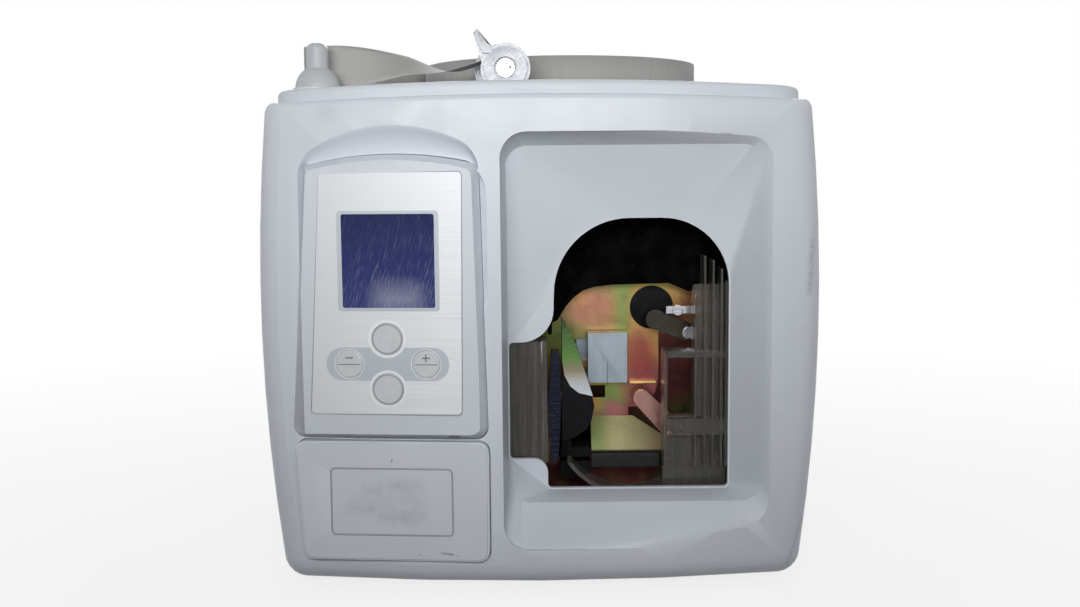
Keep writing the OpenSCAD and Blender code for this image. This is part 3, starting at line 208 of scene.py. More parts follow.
class Finish:
    """A node material with one Principled shader, and short calls for the nodes that feed it."""

    def __init__(self, name, **sockets):
        self.material = bpy.data.materials.new(name)
        self.material.use_nodes = True
        self.tree = self.material.node_tree
        self.tree.nodes.clear()
        self.output = self.tree.nodes.new("ShaderNodeOutputMaterial")
        self.shader = self.tree.nodes.new("ShaderNodeBsdfPrincipled")
        self.tree.links.new(self.shader.outputs[0], self.output.inputs[0])
        self.place = self.tree.nodes.new("ShaderNodeTexCoord").outputs["Object"]
        for socket, value in sockets.items():
            self.set(socket.replace("_", " "), value)

    def feed(self, socket, value):
        if isinstance(value, bpy.types.NodeSocket):
            self.tree.links.new(value, socket)
        elif socket.type == "RGBA" and len(value) == 3:
            socket.default_value = (*value, 1.0)
        else:
            socket.default_value = value

    def set(self, socket, value):
        self.feed(self.shader.inputs[socket], value)

    def math(self, operation, first, second=0.0):
        node = self.tree.nodes.new("ShaderNodeMath")
        node.operation = operation
        self.feed(node.inputs[0], first)
        self.feed(node.inputs[1], second)
        return node.outputs[0]

    def mix(self, factor, first, second, blend="MIX"):
        node = self.tree.nodes.new("ShaderNodeMix")
        node.data_type = "RGBA"
        node.blend_type = blend
        self.feed(node.inputs[0], factor)
        self.feed(node.inputs[6], first)
        self.feed(node.inputs[7], second)
        return node.outputs[2]

    def noise(self, scale, detail=2.0, roughness=0.5, vector=None, distortion=0.0):
        node = self.tree.nodes.new("ShaderNodeTexNoise")
        self.feed(node.inputs["Vector"], self.place if vector is None else vector)
        self.feed(node.inputs["Scale"], scale)
        self.feed(node.inputs["Detail"], detail)
        self.feed(node.inputs["Roughness"], roughness)
        self.feed(node.inputs["Distortion"], distortion)
        return node.outputs["Fac"]

    def cells(self, scale):
        node = self.tree.nodes.new("ShaderNodeTexVoronoi")
        self.feed(node.inputs["Vector"], self.place)
        self.feed(node.inputs["Scale"], scale)
        return node.outputs["Distance"]

    def stretch(self, scale, rotation=(0, 0, 0), location=(0, 0, 0), vector=None, kind="POINT"):
        node = self.tree.nodes.new("ShaderNodeMapping")
        node.vector_type = kind
        self.feed(node.inputs["Vector"], self.place if vector is None else vector)
        node.inputs["Location"].default_value = location
        node.inputs["Rotation"].default_value = rotation
        node.inputs["Scale"].default_value = scale
        return node.outputs[0]

    def split(self, vector=None):
        node = self.tree.nodes.new("ShaderNodeSeparateXYZ")
        self.feed(node.inputs[0], self.place if vector is None else vector)
        return node.outputs

    def join(self, x, y, z):
        node = self.tree.nodes.new("ShaderNodeCombineXYZ")
        for socket, value in zip(node.inputs, (x, y, z)):
            self.feed(socket, value)
        return node.outputs[0]

    def span(self, value, low, high, to_low=0.0, to_high=1.0):
        node = self.tree.nodes.new("ShaderNodeMapRange")
        node.clamp = True
        for socket, number in zip(node.inputs, (value, low, high, to_low, to_high)):
            self.feed(socket, number)
        return node.outputs[0]

    def ramp(self, value, *stops):
        node = self.tree.nodes.new("ShaderNodeValToRGB")
        self.feed(node.inputs[0], value)
        while len(node.color_ramp.elements) < len(stops):
            node.color_ramp.elements.new(0.5)
        for element, (position, colour) in zip(node.color_ramp.elements, stops):
            element.position = position
            element.color = (*colour, 1.0)
        return node.outputs[0]

    def bump(self, height, depth, strength=1.0, after=None):
        node = self.tree.nodes.new("ShaderNodeBump")
        self.feed(node.inputs["Height"], height)
        self.feed(node.inputs["Distance"], depth)
        self.feed(node.inputs["Strength"], strength)
        if after is not None:
            self.feed(node.inputs["Normal"], after)
        self.set("Normal", node.outputs[0])
        return node.outputs[0]

    def rounded(self, x, z, centre, half, radius):
        """Distance to a rounded rectangle in the plane of x and z, below zero inside."""
        out = []
        for value, middle, reach in ((x, centre[0], half[0]), (z, centre[1], half[1])):
            away = self.math("ABSOLUTE", self.minus(value, middle))
            out.append(self.either(self.minus(away, reach - radius), 0.0))
        square = self.plus(self.math("POWER", out[0], 2.0), self.math("POWER", out[1], 2.0))
        return self.minus(self.math("SQRT", square), radius)

    def disc(self, x, z, centre, radius):
        return self.rounded(x, z, centre, (radius, radius), radius)

    def inside(self, distance, soft=0.12 * MM):
        return self.span(distance, -soft, soft, 1.0, 0.0)

    def line(self, distance, width, soft=0.1 * MM):
        return self.span(self.math("ABSOLUTE", distance), width / 2, width / 2 + soft, 1.0, 0.0)

    def times(self, first, second):
        return self.math("MULTIPLY", first, second)

    def plus(self, first, second):
        return self.math("ADD", first, second)

    def minus(self, first, second):
        return self.math("SUBTRACT", first, second)

    def either(self, first, second):
        return self.math("MAXIMUM", first, second)


def shade(colour, share):
    """The colour made darker or lighter by a factor."""
    return [c * share for c in colour]


def pod_plane(finish):
    """Coordinates in the face of the control housing: x to the right, z up."""
    turned = finish.stretch((1, 1, 1), (0, 0, -POD_TILT), POD, kind="TEXTURE")
    x, _, z = finish.split(turned)
    return x, z


FINISHES = {}


def finish_once(make):
    """Keeps each material, so that pieces of one finish share it."""
    def made():
        if make.__name__ not in FINISHES:
            FINISHES[make.__name__] = make()
        return FINISHES[make.__name__]
    return made


# Rubs and dirt on the front: x and z of the middle, length, width, turn and strength
FRONT_MARKS = (
    (-39.6, 74.7, 5.4, 1.5, 8, 0.95),
    (84.5, 211.0, 5.5, 0.7, -4, 0.30),
    (125.0, 150.0, 26.0, 2.6, 86, 0.30),
    (119.0, 20.0, 24.0, 1.6, 70, 0.25),
    (-95.0, 222.0, 9.0, 7.0, 2, 0.12),
)
# The same for the label plate
PLATE_MARKS = (
    (-43.6, 20.4, 6.0, 0.9, -8, 0.85),
    (-56.0, 19.8, 1.4, 0.8, 0, 0.5),
    (-68.4, 63.8, 1.7, 0.5, 84, 0.8),
    (-38.6, 19.6, 1.6, 0.6, 20, 0.4),
)


def scuffs(finish, marks):
    """Soft dark strokes at the given places, in the object's x and z."""
    x, _, z = finish.split()
    total = 0.0
    for middle_x, middle_z, length, width, turn, strength in marks:
        a = math.radians(turn)
        dx = finish.minus(x, middle_x * MM)
        dz = finish.minus(z, middle_z * MM)
        along = finish.plus(finish.times(dx, math.cos(a)), finish.times(dz, math.sin(a)))
        across = finish.minus(finish.times(dz, math.cos(a)), finish.times(dx, math.sin(a)))
        shape = finish.rounded(
            along, across, (0, 0), (length / 2 * MM, width / 2 * MM), width / 2 * MM
        )
        mask = finish.times(finish.inside(shape, width * 0.4 * MM), strength)
        total = finish.either(total, mask)
    broken = finish.span(finish.noise(700, 3), 0.42, 0.6)
    return finish.times(total, finish.plus(finish.times(broken, 0.6), 0.4))


def white_plastic(name, colour, roughness, marks=()):
    f = Finish(name, IOR=1.47, Specular_IOR_Level=0.36, Coat_Weight=0.07, Coat_Roughness=0.12)
    tone = f.mix(f.span(f.noise(14, 4, 0.6), 0.35, 0.7), colour, shade(colour, 0.955))
    dust = f.span(f.noise(55, 6, 0.7), 0.56, 0.76, 0.0, 0.35)
    tone = f.mix(dust, tone, (colour[0] * 0.86, colour[1] * 0.85, colour[2] * 0.82))
    specks = f.times(f.span(f.cells(420), 0.03, 0.06, 1.0, 0.0),
                    f.span(f.noise(90, 1), 0.6, 0.7))
    tone = f.mix(f.times(specks, 0.5), tone, (0.12, 0.11, 0.10))
    if marks:
        tone = f.mix(scuffs(f, marks), tone, (0.035, 0.03, 0.028))
    f.set("Base Color", tone)
    f.set("Roughness", f.span(f.noise(120, 4, 0.6), 0.3, 0.75, roughness - 0.05, roughness + 0.1))
    orange_peel = f.bump(f.noise(900, 2), 0.012 * MM, 0.5)
    f.bump(f.noise(60, 2), 0.05 * MM, 0.35, after=orange_peel)
    return f.material


@finish_once
def cover_plastic():
    s = bpy.context.scene.strap_cover
    return white_plastic("cover_plastic", tuple(s.colour), s.roughness, FRONT_MARKS)


@finish_once
def lid_plastic():
    s = bpy.context.scene.strap_cover
    return white_plastic("lid_plastic", tuple(c * 0.97 for c in s.colour), s.roughness + 0.04)


@finish_once
def guide_plastic():
    return white_plastic("guide_plastic", (0.46, 0.475, 0.485), 0.42)


@finish_once
def label_plate_plastic():
    """Bare label field with the grey rubs that years of use have left."""
    s = bpy.context.scene.strap_cover
    f = Finish("label_plate_plastic", IOR=1.47, Coat_Weight=0.12, Coat_Roughness=0.2)
    x, z = pod_plane(f)
    base = tuple(s.colour)
    field = f.inside(f.rounded(x, z, (1.1 * MM, 44.2 * MM), (28.2 * MM, 15.6 * MM), 2.4 * MM))
    smear = 0.0
    for at, half, strength in (((-7, 50.5), (5, 2.2), 0.9), ((7, 52), (8, 2.4), 0.8),
                               ((-13, 41), (6, 2.0), 0.9), ((3, 37.5), (10, 3.0), 0.8),
                               ((14, 38.5), (2.5, 2.5), 0.9), ((0, 44), (17, 8.5), 0.35)):
        patch = f.rounded(x, z, [c * MM for c in at], [c * MM for c in half], half[1] * MM)
        smear = f.either(smear, f.times(f.inside(patch, 2.6 * MM), strength))
    worn = f.span(f.noise(240, 5, 0.65), 0.36, 0.66, 0.25, 1.0)
    smear = f.times(f.times(smear, worn), 0.42)
    tone = f.mix(f.span(f.noise(20, 4), 0.35, 0.7), base, shade(base, 0.94))
    tone = f.mix(f.times(field, smear), tone, (0.20, 0.19, 0.18))
    tone = f.mix(scuffs(f, PLATE_MARKS), tone, (0.03, 0.028, 0.035))
    # painted shade along the engraved groove of the field
    groove_shade = f.line(f.rounded(x, z, (1.1 * MM, 44.2 * MM), (28.2 * MM, 15.6 * MM), 2.1 * MM),
                    0.45 * MM, 0.25 * MM)
    tone = f.mix(f.times(groove_shade, 0.6), tone, (0.16, 0.16, 0.17))
    f.set("Base Color", tone)
    f.set("Roughness", f.span(f.times(field, smear), 0.0, 1.0, s.roughness + 0.04, 0.62))
    f.bump(f.noise(900, 2), 0.012 * MM, 0.5)
    return f.material


@finish_once
def brushed_overlay():
    """Printed overlay: horizontal brushing, a grey band behind the keys, rings and window frame."""
    s = bpy.context.scene.strap_panel
    f = Finish("brushed_overlay", Metallic=0.22, IOR=1.5, Specular_IOR_Level=0.3,
               Coat_Weight=0.05, Coat_Roughness=0.25)
    x, z = pod_plane(f)
    grain = f.noise(1, 4, 0.65, f.stretch((28, 28, 5200)))
    fine = f.noise(1, 2, 0.5, f.stretch((90, 90, 14000)))
    metal = tuple(s.metal)
    tone = f.mix(f.span(grain, 0.3, 0.72), shade(metal, 0.86), [min(1, c * 1.12) for c in metal])
    tone = f.mix(f.times(f.span(fine, 0.35, 0.7), 0.4), tone, shade(metal, 0.9))
    # painted reflection on the brushed metal: greyer to the left and at the foot, brighter to the
    # right
    painted_reflection = f.minus(f.times(x, 9.0), f.times(z, 2.6))
    tone = f.mix(f.span(painted_reflection, -0.72, -0.05), shade(metal, 0.80), tone)
    stadium = f.inside(f.rounded(x, z, (KEYS_X, KEYS_Z), (28.2 * MM, 7.6 * MM), 7.5 * MM))
    tone = f.mix(f.times(stadium, 0.82), tone, tuple(s.band))
    halo = 0.0
    for side in (-1, 1):
        halo = f.either(halo, f.inside(f.disc(x, z, (KEYS_X, KEYS_Z + side * KEY_RISE), 8.7 * MM)))
        halo = f.either(halo, f.inside(f.disc(x, z, (KEYS_X + side * KEY_REACH, KEYS_Z), 6.9 * MM)))
    tone = f.mix(halo, tone, (0.66, 0.68, 0.70))
    frame_line = f.times(
        f.inside(f.rounded(x, z, WINDOW, (23.2 * MM, 22.6 * MM), 1.6 * MM)),
        f.minus(1.0, f.inside(f.rounded(x, z, WINDOW, (21.2 * MM, 21.2 * MM), 0.5 * MM))),
    )
    tone = f.mix(frame_line, tone, (0.40, 0.43, 0.46))
    # thin dark outline at the overlay's edge, which narrows and leans to the right upwards
    low, high = OVERLAY_Z
    middle = f.span(z, low, high, -0.2 * MM, 3.5 * MM)
    across = f.math("DIVIDE", f.minus(x, middle), f.span(z, low, high, 1.0, 0.93))
    rim = f.rounded(across, z, (0, (low + high) / 2), (OVERLAY_HALF, (high - low) / 2), 2.2 * MM)
    tone = f.mix(f.times(f.line(rim, 0.5 * MM), 0.75), tone, (0.13, 0.135, 0.15))
    f.set("Base Color", tone)
    f.set("Roughness", f.span(grain, 0.3, 0.7, 0.42, 0.56))
    f.bump(grain, 0.02 * MM, 0.6)
    return f.material


@finish_once
def display_glass():
    """Dark blue display window with fine slanted scratches, denser towards its lower edge, where
    painted light also brightens the glass.
    """
    s = bpy.context.scene.strap_panel
    f = Finish("display_glass", IOR=1.5, Specular_IOR_Level=0.10, Coat_Weight=0.06,
               Coat_Roughness=0.06)
    x, z = pod_plane(f)
    plane = f.join(x, 0.0, z)
    low = f.span(z, WINDOW[1] - WINDOW_HALF, WINDOW[1] + 0.6 * WINDOW_HALF, 1.0, 0.0)
    right = f.span(x, WINDOW[0] - WINDOW_HALF, WINDOW[0] + WINDOW_HALF, 0.6, 1.0)
    scratch = 0.0
    for turn, pitch, bar in ((-14, 3100, 0.60), (-20, 2300, 0.63), (-8, 4200, 0.64)):
        laid = f.stretch((1, 1, 1), (0, math.radians(turn), 0), vector=plane)
        lines = f.noise(1, 2, 0.5, f.stretch((pitch, 1, 95), vector=laid))
        scratch = f.either(scratch, f.span(lines, bar - 0.02, bar + 0.11))
    amount = f.times(f.times(scratch, right), f.span(low, 0.0, 1.0, 0.16, 0.9))
    # painted highlight: a soft light patch near the window's lower edge
    glow = f.inside(f.rounded(x, z, (WINDOW[0] + 4 * MM, WINDOW[1] - 17 * MM),
                              (10 * MM, 5 * MM), 5 * MM), 6 * MM)
    deep = tuple(s.display)
    # painted light: the glass is made lighter towards its lower edge
    height = f.span(z, WINDOW[1] - WINDOW_HALF, WINDOW[1] + WINDOW_HALF)
    tone = f.mix(height, shade(deep, 1.9), deep)
    tone = f.mix(f.times(glow, 0.60), tone, (0.36, 0.37, 0.46))
    tone = f.mix(amount, tone, (0.42, 0.44, 0.52))
    f.set("Base Color", tone)
    f.set("Roughness", f.span(amount, 0.0, 1.0, 0.12, 0.5))
    f.bump(amount, 0.01 * MM, 0.4)
    return f.material


@finish_once
def key_print():
    """Key caps: grey rims, and a minus, a plus and their rules on the side keys."""
    f = Finish("key_print", IOR=1.47, Coat_Weight=0.15, Coat_Roughness=0.2)
    x, z = pod_plane(f)
    white = (0.56, 0.58, 0.60)
    ink = 0.0
    for side in (-1, 1):
        at = (KEYS_X, KEYS_Z + side * KEY_RISE)
        ink = f.either(ink, f.times(f.line(f.disc(x, z, at, 6.55 * MM), 0.5 * MM), 0.55))
        cx = KEYS_X + side * KEY_REACH
        rule = f.inside(f.rounded(x, z, (cx, KEYS_Z - 0.1 * MM), (5.2 * MM, 0.2 * MM), 0.1 * MM))
        dash = f.inside(f.rounded(x, z, (cx, KEYS_Z + 2.9 * MM), (1.75 * MM, 0.3 * MM), 0.1 * MM))
        ink = f.either(ink, f.either(rule, dash))
    post = f.rounded(x, z, (KEYS_X + KEY_REACH, KEYS_Z + 2.9 * MM), (0.3 * MM, 1.75 * MM), 0.1 * MM)
    ink = f.either(ink, f.inside(post))
    tone = f.mix(f.span(f.noise(300, 3), 0.4, 0.7), white, shade(white, 0.93))
    f.set("Base Color", f.mix(f.times(ink, 0.9), tone, (0.05, 0.05, 0.055)))
    f.set("Roughness", f.span(f.noise(220, 3), 0.3, 0.7, 0.34, 0.46))
    f.bump(f.noise(1500, 2), 0.008 * MM, 0.5)
    return f.material


@finish_once
def paper_tape():
    s = bpy.context.scene.strap_tape
    f = Finish("paper_tape", IOR=1.35, Sheen_Weight=0.12, Sheen_Roughness=0.5)
    paper = tuple(s.paper)
    fibres = f.noise(1, 5, 0.7, f.stretch((700, 700, 1500)))
    tone = f.mix(f.span(fibres, 0.32, 0.7), paper, shade(paper, 0.88))
    tone = f.mix(f.span(f.noise(45, 4), 0.5, 0.75, 0.0, 0.4), tone, shade(paper, 0.84))
    f.set("Base Color", tone)
    f.set("Roughness", f.span(fibres, 0.3, 0.7, 0.62, 0.82))
    pressed = f.bump(f.noise(170, 3, 0.55, distortion=0.6), 0.25 * MM, 0.35)
    f.bump(fibres, 0.03 * MM, 0.6, after=pressed)
    return f.material


@finish_once
def wound_paper():
    """Edge of the wound tape: fine rings round the reel's axis."""
    s = bpy.context.scene.strap_tape
    f = Finish("wound_paper", IOR=1.35, Sheen_Weight=0.1, Sheen_Roughness=0.6)
    x, y, _ = f.split()
    dx = f.minus(x, ROLL.x)
    dy = f.minus(y, ROLL.y)
    r = f.math("SQRT", f.plus(f.math("POWER", dx, 2.0), f.math("POWER", dy, 2.0)))
    rings = f.noise(1, 3, 0.6, f.join(f.times(r, 4200.0), 0.0, 0.0))
    wide = f.noise(1, 3, 0.6, f.join(f.times(r, 520.0), 0.0, 0.0))
    paper = tuple(s.paper)
    tone = f.mix(f.span(rings, 0.32, 0.68), shade(paper, 0.72), shade(paper, 1.06))
    tone = f.mix(f.span(wide, 0.35, 0.7, 0.0, 0.45), tone, shade(paper, 0.8))
    tone = f.mix(f.span(f.noise(60, 4), 0.55, 0.75, 0.0, 0.25), tone, (0.30, 0.28, 0.24))
    f.set("Base Color", tone)
    f.set("Roughness", f.span(rings, 0.3, 0.7, 0.7, 0.88))
    f.bump(rings, 0.06 * MM, 0.7)
    return f.material


def metal(name, colour, roughness, stretched=(1200, 60, 1200), depth=0.01 * MM, spread=0.12):
    f = Finish(name, Metallic=1.0)
    grain = f.noise(1, 4, 0.6, f.stretch(stretched))
    tone = f.mix(f.span(grain, 0.3, 0.7), shade(colour, 0.86), colour)
    tone = f.mix(f.span(f.noise(130, 4, 0.7), 0.55, 0.75, 0.0, 0.3), tone, shade(colour, 0.55))
    f.set("Base Color", tone)
    f.set("Roughness", f.span(f.noise(240, 4, 0.6), 0.3, 0.7, roughness, roughness + spread))
    f.bump(grain, depth, 0.5)
    return f.material


@finish_once
def leaf_steel():
    """Bright leaf of the tongue, with a painted reflection of the zinc's green above and the white
    stage below.
    """
    f = Finish("leaf_steel", Metallic=0.9)
    grain = f.noise(1, 4, 0.6, f.stretch((300, 300, 900)))
    _, _, z = f.split()
    # painted reflection: white stage at the foot, then grey, then the zinc's gold and green upwards
    tone = f.ramp(
        f.span(z, 88 * MM, 124 * MM),
        (0.00, (0.50, 0.54, 0.60)),
        (0.16, (0.42, 0.42, 0.42)),
        (0.30, (0.24, 0.20, 0.13)),
        (0.48, (0.09, 0.20, 0.045)),
        (0.80, (0.05, 0.11, 0.03)),
        (1.00, (0.02, 0.04, 0.012)),
    )
    f.set("Base Color", f.mix(f.span(grain, 0.3, 0.7, 0.0, 0.25), tone, (0.12, 0.12, 0.11)))
    f.set("Roughness", f.span(grain, 0.3, 0.7, 0.16, 0.3))
    f.bump(grain, 0.006 * MM, 0.5)
    return f.material


def steady(name, make, *values, **options):
    """A finish that always has the same values, made the first time a piece asks for it."""
    def made():
        return make(name, *values, **options)
    made.__name__ = name
    return finish_once(made)


ground_steel = steady("ground_steel", metal, (0.56, 0.58, 0.61), 0.28)
head_steel = steady(
    "head_steel", metal, (0.235, 0.275, 0.31), 0.30, (900, 900, 60), 0.008 * MM
)
dark_steel = steady(
    "dark_steel", metal, (0.042, 0.037, 0.031), 0.18, (300, 300, 300), 0.02 * MM
)
polished_steel = steady(
    "polished_steel", metal, (0.46, 0.48, 0.51), 0.12, (300, 300, 300), 0.004 * MM, 0.08
)
motor_steel = steady("motor_steel", metal, (0.42, 0.42, 0.44), 0.34, (60, 1600, 60))
plain_brass = steady("plain_brass", metal, (0.62, 0.44, 0.17), 0.24)
# the lower arm's steel is tinted pink: a painted reflection
pink_steel = steady("pink_steel", metal, (0.34, 0.185, 0.16), 0.16, (500, 60, 500))


# Clouds of the passivated plate behind the mouth: middle and half size in x and z, softness, tint
ZINC_TINTS = (
    ((25, 127), (13, 10), 8, (0.27, 0.120, 0.090)),
    ((17, 134), (5, 4), 5, (0.30, 0.165, 0.060)),
    ((42, 126), (2.2, 14), 3, (0.13, 0.185, 0.060)),
    ((52, 101), (6, 9), 4, (0.21, 0.050, 0.045)),
    ((34, 80), (8, 9), 4, (0.12, 0.190, 0.055)),
    ((37, 73), (3.5, 4), 3, (0.26, 0.090, 0.100)),
    ((27, 80), (2.5, 6), 2.5, (0.30, 0.150, 0.050)),
)


@finish_once
def rainbow_zinc():
    """Yellow passivated zinc: gold that drifts to pink and green in soft clouds."""
    s = bpy.context.scene.strap_mechanism
    f = Finish("rainbow_zinc", Metallic=1.0)
    gold = tuple(s.zinc)
    x, _, z = f.split()
    drift = f.noise(30, 2, 0.5, distortion=0.6)
    # the tints follow one another upwards and to the left, bent by the noise
    lay = f.plus(f.times(x, -4.2), f.times(z, 5.6))
    lay = f.plus(lay, f.times(drift, 0.85))
    tone = f.ramp(
        f.math("FRACT", f.times(lay, 1.35)),
        (0.00, (0.26, 0.125, 0.062)),
        (0.14, gold),
        (0.28, (0.20, 0.17, 0.055)),
        (0.42, (0.12, 0.17, 0.055)),
        (0.56, (0.19, 0.13, 0.065)),
        (0.72, (0.22, 0.075, 0.068)),
        (0.88, (0.17, 0.055, 0.060)),
        (1.00, (0.26, 0.125, 0.062)),
    )
    for at, half, soft, tint in ZINC_TINTS:
        patch = f.rounded(x, z, [c * MM for c in at], [c * MM for c in half], min(half) * MM)
        ragged = f.plus(patch, f.times(f.minus(drift, 0.5), 16 * MM))
        tone = f.mix(f.times(f.inside(ragged, soft * MM), 0.9), tone, tint)
    stain = f.span(f.noise(260, 5, 0.7), 0.5, 0.72, 0.0, 0.4)
    tone = f.mix(stain, tone, shade(gold, 0.45))
    f.set("Base Color", tone)
    f.set("Roughness", f.span(f.noise(180, 4, 0.6), 0.3, 0.7, 0.26, 0.42))
    f.bump(f.noise(420, 3), 0.012 * MM, 0.5)
    return f.material


@finish_once
def deck_zinc():
    """Deck: dull olive gold with a painted reflection of the zinc plate, greener to the left and
    browner to the right, and painted shade on its lip.
    """
    f = Finish("deck_zinc", Metallic=0.35, Specular_IOR_Level=0.3)
    x, y, _ = f.split()
    cloud = f.noise(70, 3, 0.6, distortion=0.4)
    tone = f.mix(f.span(cloud, 0.35, 0.65), (0.86, 0.78, 0.42), (0.66, 0.66, 0.34))
    # painted reflection of the zinc plate behind: greener to the left, browner to the right
    tone = f.mix(f.span(x, 30 * MM, 36 * MM, 0.5, 0.0), tone, (0.30, 0.50, 0.12))
    tone = f.mix(f.span(x, 40 * MM, 58 * MM, 0.0, 0.8), tone, (0.24, 0.17, 0.10))
    # painted shade: the turned-down lip is made almost black
    lip = f.span(y, DECK_LIP_Y - 0.6 * MM, DECK_LIP_Y + 0.6 * MM, 1.0, 0.0)
    tone = f.mix(lip, tone, (0.010, 0.009, 0.008))
    f.set("Base Color", tone)
    f.set("Roughness", f.span(cloud, 0.3, 0.7, 0.34, 0.52))
    f.bump(f.noise(420, 3), 0.012 * MM, 0.5)
    return f.material


@finish_once
def cast_metal():
    """Silver-grey cast guide with a fine crackled skin."""
    f = Finish("cast_metal", Metallic=0.3, Specular_IOR_Level=0.3)
    crackle = f.noise(820, 4, 0.65)
    tone = f.mix(f.span(crackle, 0.35, 0.7), (0.30, 0.315, 0.33), (0.45, 0.465, 0.48))
    tone = f.mix(f.span(f.noise(120, 4), 0.52, 0.72, 0.0, 0.5), tone, (0.22, 0.22, 0.23))
    f.set("Base Color", tone)
    f.set("Roughness", f.span(crackle, 0.3, 0.7, 0.34, 0.58))
    f.bump(crackle, 0.10 * MM, 0.8)
    return f.material


def moulded(name, colour, roughness, depth=0.02 * MM, scale=1400, gloss=0.5):
    f = Finish(name, IOR=1.48, Specular_IOR_Level=gloss)
    tone = f.mix(f.span(f.noise(110, 4, 0.6), 0.4, 0.7), colour, [c * 1.35 + 0.004 for c in colour])
    f.set("Base Color", tone)
    f.set("Roughness", f.span(f.noise(300, 3), 0.3, 0.7, roughness, roughness + 0.14))
    f.bump(f.noise(scale, 2), depth, 0.6)
    return f.material


black_plastic = steady("black_plastic", moulded, (0.004, 0.004, 0.005), 0.34, gloss=0.07)
# the arch's hood, near black with almost no gloss, so that it also stands in for the shadow under
# the arch
hood_plastic = steady("hood_plastic", moulded, (0.0012, 0.001, 0.0009), 0.6, gloss=0.01)
black_rubber = steady("black_rubber", moulded, (0.022, 0.022, 0.023), 0.62, 0.04 * MM, 900)
pale_nylon = steady("pale_nylon", moulded, (0.58, 0.55, 0.46), 0.42)


@finish_once
def smoked_plastic():
    """Clear guides, drawn with long vertical streaks from the mould."""
    s = bpy.context.scene.strap_mechanism
    f = Finish("smoked_plastic", IOR=1.30, Transmission_Weight=0.86, Specular_IOR_Level=0.25)
    streaks = f.noise(1, 3, 0.6, f.stretch((950, 950, 26)))
    smoke = tuple(s.smoke)
    f.set("Base Color", f.mix(f.span(streaks, 0.35, 0.7), shade(smoke, 0.5), smoke))
    f.set("Roughness", f.span(streaks, 0.4, 0.7, 0.04, 0.2))
    f.bump(streaks, 0.12 * MM, 0.8)
    return f.material


@finish_once
def speckled_bar():
    """Dark blue bar with bright specks along its grain."""
    f = Finish("speckled_bar", IOR=1.5, Specular_IOR_Level=0.12)
    specks = f.span(f.noise(1, 3, 0.7, f.stretch((2600, 2600, 1500))), 0.62, 0.70)
    streaks = f.span(f.noise(1, 3, 0.6, f.stretch((1800, 1800, 160))), 0.5, 0.7)
    tone = f.mix(f.times(streaks, 0.5), (0.003, 0.004, 0.012), (0.014, 0.018, 0.04))
    f.set("Base Color", f.mix(specks, tone, (0.24, 0.30, 0.42)))
    f.set("Roughness", f.span(specks, 0.0, 1.0, 0.45, 0.2))
    f.bump(specks, 0.12 * MM, 0.7)
    return f.material


@finish_once
def circuit_board():
    """Green lacquer over copper tracks, with tinned pads."""
    f = Finish("circuit_board", IOR=1.5, Coat_Weight=0.4, Coat_Roughness=0.1)
    brick = f.tree.nodes.new("ShaderNodeTexBrick")
    f.feed(brick.inputs["Vector"], f.stretch((1, 1, 1), (math.radians(90), 0, 0)))
    brick.inputs["Scale"].default_value = 160
    brick.inputs["Mortar Size"].default_value = 0.05
    tracks = brick.outputs["Fac"]
    tone = f.mix(tracks, (0.008, 0.085, 0.030), (0.03, 0.20, 0.07))
    pads = f.span(f.cells(260), 0.16, 0.20, 1.0, 0.0)
    tone = f.mix(f.times(pads, 0.7), tone, (0.55, 0.55, 0.52))
    f.set("Base Color", tone)
    f.set("Roughness", f.span(pads, 0.0, 1.0, 0.34, 0.22))
    f.bump(f.either(tracks, pads), 0.05 * MM, 0.6)
    return f.material


NODES_WITH = {
    cover_plastic: "front_cover rear_cover control_pod",
    label_plate_plastic: "lower_plate",
    lid_plastic: "top_lid",
    guide_plastic: "guide_post guide_roller",
    pale_nylon: "reel_hub cam_gear",
    brushed_overlay: "overlay_panel",
    display_glass: "lcd_window",
    key_print: "key_clr key_set key_minus key_plus",
    circuit_board: "lcd_module key_board power_board",
    wound_paper: "tape_roll",
    paper_tape: "tape_run",
    cast_metal: "inlet_cap inlet_bracket",
    polished_steel: "inlet_screw upper_screw bracket cutter_blade",
    black_rubber: "inlet_roller feed_roller pinch_roller lower_roller feet",
    motor_steel: "feed_motor drive_motor",
    hood_plastic: "arch_hood",
    black_plastic: "tongue upper_bush mains_inlet switch_frame rocker",
    smoked_plastic: "guide_left guide_right guide_ring",
    speckled_bar: "stop_bar",
    leaf_steel: "tongue_face",
    rainbow_zinc: "frame_plate bearing_plate",
    deck_zinc: "deck_plate",
    pink_steel: "lower_arm",
    dark_steel: "upper_arm",
    head_steel: "press_head",
    plain_brass: "contact_leaf motor_pinion",
}
FINISH_OF = {node: finish for finish, nodes in NODES_WITH.items() for node in nodes.split()}


def finish_of(node):
    """The node's finish; what isn't listed is ground steel."""
    return FINISH_OF.get(node, ground_steel)()


# ---------------------------------------------------------------- mesh helpers

# Degrees between two faces above which their edge is sharp
SHARP = 35


def smooth_step(t):
    t = min(1.0, max(0.0, t))
    return t * t * (3 - 2 * t)


def new_piece(name, mesh, body, finish, node=None):
    """Puts a finished mesh in the scene on its body, in place of its CAD node if it has one."""
    piece = bpy.data.objects.new(name, mesh)
    bpy.context.scene.collection.objects.link(piece)
    mesh.materials.clear()
    mesh.materials.append(finish)
    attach(piece, body)
    if node:
        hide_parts(node)
    return piece


def merged_copy(node, flat=math.radians(0.4)):
    """The CAD node's mesh with its corners joined and its flat triangles run together."""
    mesh = frame["nodes"][node].data.copy()
    shape = bmesh.new()
    shape.from_mesh(mesh)
    bmesh.ops.remove_doubles(shape, verts=shape.verts, dist=2e-6)
    bmesh.ops.dissolve_degenerate(shape, edges=shape.edges, dist=1e-6)
    bmesh.ops.dissolve_limit(shape, angle_limit=flat, verts=shape.verts, edges=shape.edges)
    shape.to_mesh(mesh)
    shape.free()
    mesh.name = node + "_skin"
    return mesh


